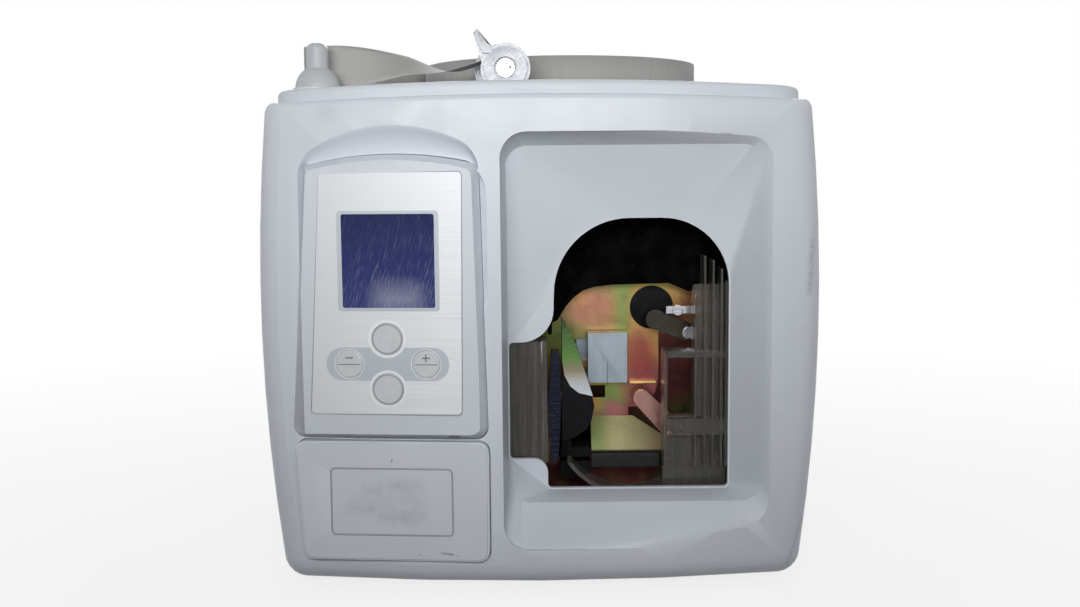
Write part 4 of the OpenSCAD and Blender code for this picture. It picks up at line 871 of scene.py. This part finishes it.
def soften(piece, edge, smooth=SHARP):
    """Smooth shading between sharp edges, and a small radius on those edges."""
    mesh = piece.data
    mesh.shade_smooth()
    mesh.set_sharp_from_angle(angle=math.radians(smooth))
    if edge > 0:
        bevel = piece.modifiers.new("edge", "BEVEL")
        bevel.width = edge
        bevel.segments = 2
        bevel.limit_method = "ANGLE"
        bevel.angle_limit = math.radians(SHARP)
        bevel.harden_normals = True
        bevel.use_clamp_overlap = True
    return piece


def skin(node, edge, smooth=SHARP):
    """A softened copy of a CAD node, which then stands for it."""
    piece = new_piece(node + "_skin", merged_copy(node), BODY_OF[node], finish_of(node), node)
    return soften(piece, edge, smooth)


def repaint(node):
    """Gives a CAD node that keeps its own mesh its finish."""
    mesh = frame["nodes"][node].data
    mesh.materials.clear()
    mesh.materials.append(finish_of(node))


# ---------------------------------------------------------------- geometry nodes helpers

class Recipe:
    """A Geometry Nodes tree with named inputs, and short calls for its nodes."""

    def __init__(self, name):
        self.tree = bpy.data.node_groups.new(name, "GeometryNodeTree")
        self.tree.interface.new_socket(
            "Geometry", in_out="OUTPUT", socket_type="NodeSocketGeometry"
        )
        self.start = self.tree.nodes.new("NodeGroupInput")
        self.end = self.tree.nodes.new("NodeGroupOutput")
        self.values = {}

    def ask(self, name, kind, value):
        socket = self.tree.interface.new_socket(
            name, in_out="INPUT", socket_type="NodeSocket" + kind
        )
        self.values[socket.identifier] = value
        return self.start.outputs[name]

    def node(self, kind, settings=None, **inputs):
        made = self.tree.nodes.new(kind)
        for key, value in (settings or {}).items():
            setattr(made, key, value)
        for key, value in inputs.items():
            socket = made.inputs[int(key[1:])] if key[0] == "i" and key[1:].isdigit() else (
                made.inputs[key.replace("_", " ")])
            if isinstance(value, bpy.types.NodeSocket):
                self.tree.links.new(value, socket)
            else:
                socket.default_value = value
        return made

    def math(self, operation, first, second=0.0):
        return self.node("ShaderNodeMath", {"operation": operation}, i0=first, i1=second).outputs[0]

    def bake(self, geometry, material, name):
        """Ends the tree, evaluates it once on an empty mesh and returns the plain mesh."""
        real = self.node("GeometryNodeRealizeInstances", Geometry=geometry)
        painted = self.node("GeometryNodeSetMaterial", Geometry=real.outputs[0])
        finish = self.ask("Material", "Material", material)
        self.tree.links.new(finish, painted.inputs["Material"])
        self.tree.links.new(painted.outputs[0], self.end.inputs[0])
        carrier = bpy.data.objects.new(name + "_recipe", bpy.data.meshes.new(name + "_recipe"))
        bpy.context.scene.collection.objects.link(carrier)
        modifier = carrier.modifiers.new("recipe", "NODES")
        modifier.node_group = self.tree
        for identifier, value in self.values.items():
            modifier[identifier] = value
        bpy.context.view_layer.update()
        evaluated = carrier.evaluated_get(bpy.context.evaluated_depsgraph_get())
        mesh = bpy.data.meshes.new_from_object(evaluated)
        mesh.name = name
        carrier.modifiers.remove(modifier)
        bpy.data.objects.remove(carrier)
        return mesh


# ---------------------------------------------------------------- covers

COVER_NODES = ("rear_cover", "top_lid", "lower_plate")

# The bowed front: its foremost line and the radius of the bow
FRONT_Y = -120 * MM
FRONT_R = 620 * MM
# A face is part of that bow if it lies this near to it and looks this much to the front
BOW_REACH = 0.12 * MM
BOW_FACING = -0.9

# In the housing's face: middle, half width, radius of the corners, and the arc's middle and radius,
# for the scoop's rim, the housing's arch as it is dressed and the arch of its solid
SCOOP_RIM = (1.1 * MM, 41.5 * MM, 8.0 * MM, (3.5 * MM, 143.0 * MM), 73.0 * MM)
NEW_ARCH = (2.4 * MM, 39.9 * MM, 6.0 * MM, (3.0 * MM, 38.0 * MM), 165.0 * MM)
OLD_ARCH = (2.75 * MM, 39.55 * MM, 6.0 * MM, (1.0 * MM, 120.5 * MM), 85.0 * MM)
# Depth of the scoop behind the housing's face, and the height at which it ends on the left
SCOOP_FLOOR = 9.0 * MM
SCOOP_TAIL = 152 * MM
# The scoop's slope: how it leaves the rim, and how roundly it reaches the floor
SLOPE_GAIN = 1.12
SLOPE_START = 0.12
SLOPE_ROUND = 2.1
# The scoop's cutter: its lower edge behind the housing, its left corners and its depths
CUTTER_LOW = 186 * MM
CUTTER_LEFT = (-34 * MM, -36 * MM)
CUTTER_DEPTHS = (-6 * MM, 20 * MM)
# Heights between which the housing is lifted from the solid's arch to the flatter one
ARCH_WARP = (170 * MM, 196 * MM)
# Left edge of the housing: a point of it, and its lean to the right with the height
POD_EDGE = (-45.5 * MM, 73.5 * MM)
POD_LEAN = 9.5 / 141.5


def arch_top(shape, u):
    """Height of an arched outline with rounded corners above the point u of the housing's face."""
    middle, half, corner, centre, radius = shape
    past = min(corner, max(0.0, abs(u - middle) - (half - corner)))
    drop = corner - math.sqrt(corner ** 2 - past ** 2)
    return centre[1] + math.sqrt(radius ** 2 - (u - centre[0]) ** 2) - drop


def from_pod(u, z, v):
    """World place of a point of the housing's face, v behind that face."""
    c, s = math.cos(POD_TILT), math.sin(POD_TILT)
    return Vector((POD.x + u * c + v * s, POD.y - u * s + v * c, z))


def to_pod(place):
    c, s = math.cos(POD_TILT), math.sin(POD_TILT)
    dx, dy = place.x - POD.x, place.y - POD.y
    return dx * c - dy * s, place.z, dx * s + dy * c


def front_depth(u):
    """How far behind the housing's face the front cover's skin lies at u."""
    v = 0.0
    for _ in range(12):
        place = from_pod(u, 0.0, v)
        v += FRONT_Y + place.x ** 2 / (2 * FRONT_R) - place.y
    return v


def pod_side(z):
    """Left edge of the housing at the height z, in the housing's face."""
    return POD_EDGE[0] + POD_LEAN * (z - POD_EDGE[1])


def scoop_columns(arch=72, side=24):
    """Pairs of points on the scoop's rim and on the housing's outline, with the floor's depth."""
    out = []
    left = SCOOP_RIM[0] - SCOOP_RIM[1]
    end = arch_top(SCOOP_RIM, left)
    for i in range(side):
        z = SCOOP_TAIL + (end - SCOOP_TAIL) * i / side
        v0 = front_depth(left)
        floor = v0 + 0.3 * MM + (SCOOP_FLOOR - v0 - 0.3 * MM) * smooth_step(i / side)
        out.append(((left, z), (max(left, pod_side(z) - 0.3 * MM), z), floor))
    for i in range(arch + 1):
        a = math.sin(math.pi * (i / arch - 0.5))
        u0 = SCOOP_RIM[0] + SCOOP_RIM[1] * a
        u1 = NEW_ARCH[0] + NEW_ARCH[1] * a
        inner = (u1 + 0.3 * MM * a, arch_top(NEW_ARCH, u1) + 0.3 * MM)
        out.append(((u0, arch_top(SCOOP_RIM, u0)), inner, SCOOP_FLOOR))
    return out


def scoop_grid(rows=16):
    """Rows of points from the rim of the scoop down to the outline of the housing."""
    grid = []
    columns = scoop_columns()
    for j in range(rows + 1):
        s = j / rows
        turned = SLOPE_GAIN * s * s / (s + SLOPE_START)
        depth = 1 - (1 - turned) ** SLOPE_ROUND
        row = []
        for (u0, z0), (u1, z1), floor in columns:
            v0 = front_depth(u0)
            row.append((u0 + (u1 - u0) * s, z0 + (z1 - z0) * s, v0 + (floor - v0) * depth))
        grid.append(row)
    return grid


def cut(mesh, tool_mesh):
    """The mesh less the tool."""
    body = bpy.data.objects.new("cut_body", mesh)
    tool = bpy.data.objects.new("cut_tool", tool_mesh)
    for thing in (body, tool):
        bpy.context.scene.collection.objects.link(thing)
    modifier = body.modifiers.new("cut", "BOOLEAN")
    modifier.operation = "DIFFERENCE"
    modifier.solver = "EXACT"
    modifier.object = tool
    bpy.context.view_layer.update()
    evaluated = body.evaluated_get(bpy.context.evaluated_depsgraph_get())
    out = bpy.data.meshes.new_from_object(evaluated)
    for thing in (body, tool):
        bpy.data.objects.remove(thing)
    return out


def baked_bevel(mesh, edge):
    """The mesh with the softened edges of soften() worked in."""
    thing = bpy.data.objects.new("bevelled", mesh)
    bpy.context.scene.collection.objects.link(thing)
    soften(thing, edge)
    bpy.context.view_layer.update()
    evaluated = thing.evaluated_get(bpy.context.evaluated_depsgraph_get())
    out = bpy.data.meshes.new_from_object(evaluated)
    bpy.data.objects.remove(thing)
    return out


def skin_normals(mesh):
    """Gives the faces on the bowed front the exact normals of that bow, so no facet shows."""
    normals = [Vector(n.vector) for n in mesh.corner_normals]
    for face in mesh.polygons:
        places = [mesh.vertices[v].co for v in face.vertices]
        off = max(abs(p.y - FRONT_Y - p.x ** 2 / (2 * FRONT_R)) for p in places)
        if off < BOW_REACH and face.normal.y < BOW_FACING:
            for loop in face.loop_indices:
                x = mesh.vertices[mesh.loops[loop].vertex_index].co.x
                normals[loop] = Vector((x / FRONT_R, -1, 0)).normalized()
    mesh.normals_split_custom_set(normals)


def scoop_cutter():
    """Prism through the front's wall, with the rim of the scoop as its outline."""
    rim = scoop_grid()[0]
    outline = [(u, z) for u, z, _ in rim]
    upper, lower = CUTTER_LEFT
    outline += [(outline[-1][0] - 3 * MM, CUTTER_LOW), (upper, CUTTER_LOW), (lower, SCOOP_TAIL)]
    shape = bmesh.new()
    rings = [[shape.verts.new(from_pod(u, z, v)) for u, z in outline] for v in CUTTER_DEPTHS]
    count = len(outline)
    shape.faces.new(rings[0])
    shape.faces.new(reversed(rings[1]))
    for i in range(count):
        k = (i + 1) % count
        shape.faces.new((rings[0][k], rings[0][i], rings[1][i], rings[1][k]))
    bmesh.ops.recalc_face_normals(shape, faces=shape.faces)
    mesh = bpy.data.meshes.new("scoop_cutter")
    shape.to_mesh(mesh)
    shape.free()
    return mesh


def scoop_bowl():
    """Hollow of the scoop, with a rim that turns back behind the front's skin."""
    grid = scoop_grid()
    skirt = [(u, z, v + 1.5 * MM) for u, z, v in grid[0]]
    foot = [(u, z - 0.1 * MM, v + 3 * MM) for u, z, v in grid[-1]]
    shape = bmesh.new()
    rows = [[shape.verts.new(from_pod(*p)) for p in row] for row in (skirt, *grid, foot)]
    for first, second in zip(rows, rows[1:]):
        for i in range(len(first) - 1):
            shape.faces.new((first[i], second[i], second[i + 1], first[i + 1]))
    mesh = bpy.data.meshes.new("pod_scoop")
    shape.to_mesh(mesh)
    shape.free()
    mesh.shade_smooth()
    mesh.set_sharp_from_angle(angle=math.radians(70))
    return mesh


def raised_arch(mesh):
    """Lifts the top of the housing from the arc of its solid to the flatter arc of the photo."""
    for vertex in mesh.vertices:
        u, z, _ = to_pod(vertex.co)
        share = smooth_step((z - ARCH_WARP[0]) / (ARCH_WARP[1] - ARCH_WARP[0]))
        if share > 0:
            u = min(OLD_ARCH[0] + OLD_ARCH[1], max(OLD_ARCH[0] - OLD_ARCH[1], u))
            vertex.co.z += share * (arch_top(NEW_ARCH, u) - arch_top(OLD_ARCH, u))


class STRAP_OT_covers(bpy.types.Operator):
    """White covers, lid, control housing and label plate with softened edges"""

    bl_idname = "strap.covers"
    bl_label = "Covers"

    def execute(self, context):
        edge = context.scene.strap_cover.edge
        for node in COVER_NODES:
            skin(node, edge)
        front = cut(baked_bevel(merged_copy("front_cover"), edge), scoop_cutter())
        skin_normals(front)
        new_piece("front_cover_skin", front, BODY_OF["front_cover"], cover_plastic(), "front_cover")
        new_piece("pod_scoop", scoop_bowl(), BODY_OF["front_cover"], cover_plastic())
        pod = merged_copy("control_pod")
        raised_arch(pod)
        soften(new_piece("control_pod_skin", pod, BODY_OF["control_pod"], cover_plastic(),
                         "control_pod"), edge)
        for node in ("base_plate", "feet", "cover_screws"):
            repaint(node)
        return {"FINISHED"}


class STRAP_OT_panel(bpy.types.Operator):
    """Brushed overlay, display window, key caps and the boards behind them"""

    bl_idname = "strap.panel"
    bl_label = "Control panel"

    def execute(self, context):
        skin("overlay_panel", 0.12 * MM)
        skin("lcd_window", 0.2 * MM)
        for node in ("key_clr", "key_set", "key_minus", "key_plus"):
            skin(node, 0.15 * MM)
        for node in ("lcd_module", "key_board"):
            repaint(node)
        return {"FINISHED"}


# ---------------------------------------------------------------- tape

def belt_angle():
    """Direction, seen from the roll's axis, in which the tape leaves the roll."""
    toward = GUIDE - ROLL.xy
    return math.atan2(toward.y, toward.x) - math.acos((ROLL_R - GUIDE_R) / toward.length)


def tape_sections(fine=4):
    """Centre and width direction along the free run, on the route that the CAD solid takes."""
    gap = 0.3 * MM + TAPE_T / 2
    a = belt_angle()
    radial = Vector((math.cos(a), math.sin(a)))
    start = ROLL.xy + radial * (ROLL_R + gap)
    reach = GUIDE_R + gap
    meet = GUIDE + radial * reach
    way = (meet - start).normalized()
    side = Vector((way.y, -way.x, 0))
    low = PAD_Z + 0.4 * MM
    out = []
    steps = 14 * fine
    for i in range(steps + 1):
        s = i / steps
        tilt = math.sin(math.pi * min(1.0, max(0.0, (s - 0.09) / 0.91)))
        lean = math.radians(90 - 66 * max(0.0, tilt) ** 1.2)
        bottom = ROLL.z + (low - ROLL.z) * smooth_step(s / 0.3) + 0.9 * MM * math.sin(math.pi * s)
        flat = start.lerp(meet, s)
        width = side * math.cos(lean) + Vector((0, 0, math.sin(lean)))
        out.append((Vector((*flat, bottom + TAPE_W / 2 * math.sin(lean))), width))
    turn = 1.5 * math.pi - (a + 2 * math.pi)
    for i in range(1, 8 * fine + 1):
        b = a + turn * i / (8 * fine)
        centre = GUIDE + reach * Vector((math.cos(b), math.sin(b)))
        out.append((Vector((*centre, low + TAPE_W / 2)), Vector((0, 0, 1))))
    climb = math.radians(17)
    over = INLET_R + TAPE_T
    in_x = INLET.x - over * math.sin(climb)
    in_z = INLET.z + over * math.cos(climb)
    front = GUIDE.y - reach
    steps = 18 * fine
    for i in range(1, steps + 1):
        s = i / steps
        x = GUIDE.x + (in_x - GUIDE.x) * s
        lean = math.radians(90 * (1 - min(1, max(0, (x - GUIDE.x - 8 * MM) / (58 * MM)))) ** 1.3)
        k = smooth_step((x - GUIDE.x - 40 * MM) / (32 * MM))
        z = (low + TAPE_W / 2) * (1 - k) + (in_z - (in_x - x) * math.tan(climb)) * k
        z += (1 - k) * 0.6 * MM * math.sin(math.pi * s)
        y = front + (INLET.y - front) * smooth_step(s)
        out.append((Vector((x, y, z)), Vector((0, math.cos(lean), math.sin(lean)))))
    for i in range(1, 8 * fine + 1):
        b = (math.pi / 2 + climb) * (1 - i / (8 * fine))
        centre = Vector((INLET.x + over * math.cos(b), INLET.y, INLET.z + over * math.sin(b)))
        out.append((centre, Vector((0, 1, 0))))
    for i in range(1, 9):
        z = INLET.z + (FEED_Z - 14 * MM - INLET.z) * i / 8
        out.append((Vector((INLET.x + over, INLET.y, z)), Vector((0, 1, 0))))
    return out


def tape_mesh(sections, across=8):
    """A paper strip through the sections, and its length along them."""
    mesh = bpy.data.meshes.new("free_tape")
    shape = bmesh.new()
    rows = []
    travel = 0.0
    last = sections[0][0]
    for centre, width in sections:
        travel += (centre - last).length
        last = centre
        row = []
        for j in range(across + 1):
            v = j / across - 0.5
            row.append(shape.verts.new(centre + width * TAPE_W * v))
        rows.append(row)
    for first, second in zip(rows, rows[1:]):
        for j in range(across):
            shape.faces.new((first[j], first[j + 1], second[j + 1], second[j]))
    shape.to_mesh(mesh)
    shape.free()
    return mesh, travel


def wound_roll(laps):
    """Spiral of tape laps: each lap stands a little higher or lower than its neighbour."""
    r = Recipe("wound_roll")
    inner = r.ask("Inner radius", "Float", CORE_R + 0.15 * MM)
    outer = r.ask("Outer radius", "Float", ROLL_R - 0.12 * MM)
    turns = r.ask("Laps", "Float", float(laps))
    width = r.ask("Tape width", "Float", TAPE_W - 0.5 * MM)
    fill = r.ask("Lap fill", "Float", 0.93)
    stagger = r.ask("Stagger", "Float", 0.22 * MM)
    seed = r.ask("Seed", "Float", 4.0)
    finish = r.ask("Turn", "Float", belt_angle())
    middle = r.ask("Middle", "Vector", (ROLL.x, ROLL.y, ROLL.z + TAPE_W / 2))
    pitch = r.math("DIVIDE", r.math("SUBTRACT", outer, inner), turns)
    spiral = r.node("GeometryNodeCurveSpiral", Resolution=84, Rotations=turns, Start_Radius=inner,
                    End_Radius=outer, Height=0.0)
    along = r.node("GeometryNodeSplineParameter").outputs["Factor"]
    swings = r.math("MULTIPLY", along, r.math("MULTIPLY", turns, 1.7))
    wobble = r.node("ShaderNodeTexNoise", {"noise_dimensions": "1D"}, W=r.math("ADD", seed, swings),
                    Scale=1.0, Detail=2.0)
    lift = r.math("MULTIPLY", r.math("SUBTRACT", wobble.outputs[0], 0.5), stagger)
    moved = r.node("GeometryNodeSetPosition", Geometry=spiral.outputs[0],
                   Offset=r.node("ShaderNodeCombineXYZ", Z=lift).outputs[0])
    profile = r.node("GeometryNodeCurvePrimitiveQuadrilateral",
                     Width=r.math("MULTIPLY", pitch, fill), Height=width)
    wound = r.node("GeometryNodeCurveToMesh", Curve=moved.outputs[0],
                   Profile_Curve=profile.outputs[0], Fill_Caps=True)
    placed = r.node("GeometryNodeTransform", Geometry=wound.outputs[0], Translation=middle,
                    Rotation=r.node("ShaderNodeCombineXYZ", Z=finish).outputs[0])
    return r.bake(placed.outputs[0], FINISH_OF["tape_roll"](), "wound_roll")


class STRAP_OT_tape(bpy.types.Operator):
    """Wound paper roll on its hub, and the free run over the guides"""

    bl_idname = "strap.tape"
    bl_label = "Paper tape"

    def execute(self, context):
        s = context.scene.strap_tape
        new_piece("wound_roll", wound_roll(s.laps), "reel", wound_paper(), "tape_roll")
        mesh, length = tape_mesh(tape_sections())
        run = new_piece("free_tape", mesh, BODY_OF["tape_run"], paper_tape(), "tape_run")
        run.data.shade_smooth()
        wall = run.modifiers.new("thickness", "SOLIDIFY")
        wall.thickness = s.thickness
        wall.offset = 0.0
        skin("reel_hub", 0.3 * MM)
        skin("spindle", 0.3 * MM)
        for node in ("inlet_roller", "feed_roller", "pinch_roller"):
            repaint(node)
        return {"FINISHED"}


class STRAP_OT_guides(bpy.types.Operator):
    """Guide post, left guide roller and the cast inlet guide on the lid"""

    bl_idname = "strap.guides"
    bl_label = "Tape guides"

    def execute(self, context):
        for node in ("guide_post", "guide_roller", "inlet_cap", "inlet_bracket", "inlet_screw"):
            skin(node, 0.3 * MM, smooth=40)
        repaint("guide_pin")
        return {"FINISHED"}


# ---------------------------------------------------------------- mechanism

SOFT_PARTS = (
    "frame_plate", "bearing_plate", "deck_plate", "press_head", "upper_arm", "upper_screw",
    "lower_arm", "lower_roller", "bracket", "contact_leaf", "cutter_blade", "tongue",
    "tongue_face", "stop_bar", "arch_hood", "upper_bush",
)
# The head's front holds a slit that a wider edge would fill
SLIT_EDGE = 0.06 * MM
PLAIN_PARTS = (
    "spacers", "slide_rod", "cam_shaft", "cam_gear", "motor_pinion", "drive_motor",
    "feed_motor", "feed_frame", "power_board",
)


class STRAP_OT_mechanism(bpy.types.Operator):
    """Plates, arms, press head, tongue and drive behind the note mouth"""

    bl_idname = "strap.mechanism"
    bl_label = "Strapping mechanism"

    def execute(self, context):
        edge = context.scene.strap_mechanism.edge
        for node in SOFT_PARTS:
            skin(node, SLIT_EDGE if node == "press_head" else edge)
        for node in PLAIN_PARTS:
            repaint(node)
        return {"FINISHED"}


class STRAP_OT_clear_guides(bpy.types.Operator):
    """Smoked clear guides on both sides of the mouth and the ring between them"""

    bl_idname = "strap.clear_guides"
    bl_label = "Clear guides"

    def execute(self, context):
        for node in ("guide_left", "guide_right", "guide_ring"):
            skin(node, 0.2 * MM)
        return {"FINISHED"}


class STRAP_OT_rear(bpy.types.Operator):
    """Mains inlet and power switch on the back"""

    bl_idname = "strap.rear"
    bl_label = "Mains inlet and switch"

    def execute(self, context):
        for node in ("mains_inlet", "switch_frame", "rocker"):
            skin(node, 0.3 * MM)
        return {"FINISHED"}


# ---------------------------------------------------------------- stage

def background_rays(tree):
    """1 for the rays that see the plain white background: straight, mirrored and through glass."""
    path = tree.nodes.new("ShaderNodeLightPath")
    seen = path.outputs["Is Camera Ray"]
    for other in ("Is Glossy Ray", "Is Transmission Ray"):
        either = tree.nodes.new("ShaderNodeMath")
        either.operation = "MAXIMUM"
        tree.links.new(seen, either.inputs[0])
        tree.links.new(path.outputs[other], either.inputs[1])
        seen = either.outputs[0]
    return seen


def pale_floor():
    """White to the camera, plainer near the object so that its shadow shows, grey to the light."""
    material = bpy.data.materials.new("pale_floor")
    material.use_nodes = True
    tree = material.node_tree
    tree.nodes.clear()
    links = tree.links
    seen = background_rays(tree)
    place = tree.nodes.new("ShaderNodeTexCoord")
    away = tree.nodes.new("ShaderNodeVectorMath")
    away.operation = "LENGTH"
    links.new(place.outputs["Object"], away.inputs[0])
    share = tree.nodes.new("ShaderNodeMapRange")
    for socket, value in zip(share.inputs, (0.0, 0.22, 0.75, 0.80, 1.0)):
        socket.default_value = value
    links.new(away.outputs["Value"], share.inputs[0])
    factor = tree.nodes.new("ShaderNodeMath")
    factor.operation = "MULTIPLY"
    links.new(seen, factor.inputs[0])
    links.new(share.outputs[0], factor.inputs[1])
    colour = tree.nodes.new("ShaderNodeMix")
    colour.data_type = "RGBA"
    colour.inputs[6].default_value = (0.26, 0.25, 0.26, 1.0)
    colour.inputs[7].default_value = (0.86, 0.86, 0.87, 1.0)
    links.new(seen, colour.inputs[0])
    diffuse = tree.nodes.new("ShaderNodeBsdfDiffuse")
    links.new(colour.outputs[2], diffuse.inputs["Color"])
    glow = tree.nodes.new("ShaderNodeEmission")
    mix = tree.nodes.new("ShaderNodeMixShader")
    output = tree.nodes.new("ShaderNodeOutputMaterial")
    links.new(factor.outputs[0], mix.inputs[0])
    links.new(diffuse.outputs[0], mix.inputs[1])
    links.new(glow.outputs[0], mix.inputs[2])
    links.new(mix.outputs[0], output.inputs[0])
    return material


def pale_world(strength):
    """White behind the object, and soft grey light on it."""
    world = bpy.data.worlds.new("pale_world")
    world.use_nodes = True
    tree = world.node_tree
    tree.nodes.clear()
    soft = tree.nodes.new("ShaderNodeBackground")
    soft.inputs["Color"].default_value = (0.84, 0.90, 1.0, 1.0)
    soft.inputs["Strength"].default_value = strength
    white = tree.nodes.new("ShaderNodeBackground")
    white.inputs["Color"].default_value = (1.0, 1.0, 1.0, 1.0)
    mix = tree.nodes.new("ShaderNodeMixShader")
    output = tree.nodes.new("ShaderNodeOutputWorld")
    tree.links.new(background_rays(tree), mix.inputs[0])
    tree.links.new(soft.outputs[0], mix.inputs[1])
    tree.links.new(white.outputs[0], mix.inputs[2])
    tree.links.new(mix.outputs[0], output.inputs[0])
    bpy.context.scene.world = world


def area_lamp(name, place, aim, size, power):
    lamp = bpy.data.lights.new(name, "AREA")
    lamp.shape = "RECTANGLE"
    lamp.size, lamp.size_y = size
    lamp.energy = power
    holder = bpy.data.objects.new(name, lamp)
    holder.location = place
    holder.rotation_euler = (Vector(aim) - Vector(place)).to_track_quat("-Z", "Y").to_euler()
    bpy.context.scene.collection.objects.link(holder)
    return holder


# The photograph's width and the camera's focal length in its pixels; the sensor in mm
PHOTO_WIDTH = 1080
FOCAL_PIXELS = 1210
SENSOR = 36.0

# Share of the lamps' power in the key lamp, which a narrow spread makes brighter
KEY_SHARE = 0.26
# The other lamps: name, place, aim, size and share of the power
LAMPS = (
    ("top", (0.0, -0.20, 0.95), (0, 0, 0.2), (0.7, 0.4), 0.15),
    ("left", (-0.95, 0.10, 0.55), (0, 0, 0.12), (0.5, 0.5), 0.45),
    ("right", (0.95, 0.10, 0.55), (0, 0, 0.12), (0.5, 0.5), 0.45),
    ("back", (0.05, 0.85, 0.65), (0, 0.05, 0.14), (0.8, 0.4), 1.9),
)


class STRAP_OT_stage(bpy.types.Operator):
    """Camera at the photograph's angle, pale floor and soft lamps"""

    bl_idname = "strap.stage"
    bl_label = "Stage"

    def execute(self, context):
        s = context.scene.strap_stage
        lens = bpy.data.cameras.new("camera")
        lens.sensor_fit = "HORIZONTAL"
        lens.sensor_width = SENSOR
        lens.lens = SENSOR * FOCAL_PIXELS / PHOTO_WIDTH
        lens.clip_start = 0.01
        camera = bpy.data.objects.new("camera", lens)
        camera.matrix_world = (
            Matrix.Translation((0, s.camera_y, s.camera_z))
            @ Matrix.Rotation(math.pi / 2 - s.pitch, 4, "X")
            @ Matrix.Rotation(s.roll, 4, "Z")
        )
        context.scene.collection.objects.link(camera)
        context.scene.camera = camera

        mesh = bpy.data.meshes.new("floor")
        shape = bmesh.new()
        bmesh.ops.create_grid(shape, x_segments=1, y_segments=1, size=4.0)
        shape.to_mesh(mesh)
        shape.free()
        floor = bpy.data.objects.new("floor", mesh)
        context.scene.collection.objects.link(floor)
        mesh.materials.append(pale_floor())

        pale_world(s.fill)
        power = s.key_power
        key = area_lamp("key", (-0.02, -0.64, 0.30), (0, -0.10, 0.232), (0.45, 0.14),
                        power * KEY_SHARE)
        key.data.spread = math.radians(80)
        for name, place, aim, size, share in LAMPS:
            area_lamp(name, place, aim, size, power * share)
        return {"FINISHED"}


OPERATORS = (
    STRAP_OT_stage,
    STRAP_OT_covers,
    STRAP_OT_panel,
    STRAP_OT_tape,
    STRAP_OT_guides,
    STRAP_OT_mechanism,
    STRAP_OT_clear_guides,
    STRAP_OT_rear,
)


class STRAP_PT_machine(bpy.types.Panel):
    """Settings of the machine and the steps that dress it"""

    bl_idname = "STRAP_PT_machine"
    bl_label = "Strapping machine"
    bl_space_type = "VIEW_3D"
    bl_region_type = "UI"
    bl_category = "Strapping machine"

    def draw(self, context):
        for name, group in SETTINGS.items():
            box = self.layout.box()
            box.label(text=group.__doc__)
            for key in group.__annotations__:
                box.prop(getattr(context.scene, name), key)
        for operator in OPERATORS:
            self.layout.operator(operator.bl_idname)


CLASSES = (*SETTINGS.values(), *OPERATORS, STRAP_PT_machine)


def register():
    for cls in CLASSES:
        bpy.utils.register_class(cls)
    for name, group in SETTINGS.items():
        setattr(bpy.types.Scene, name, PointerProperty(type=group))


def unregister():
    for name in SETTINGS:
        delattr(bpy.types.Scene, name)
    for cls in reversed(CLASSES):
        bpy.utils.unregister_class(cls)


def main():
    register()
    scene = bpy.context.scene
    scene.view_settings.view_transform = "Standard"
    for operator in OPERATORS:
        group, name = operator.bl_idname.split(".")
        getattr(getattr(bpy.ops, group), name)()


if __name__ == "__main__":
    main()
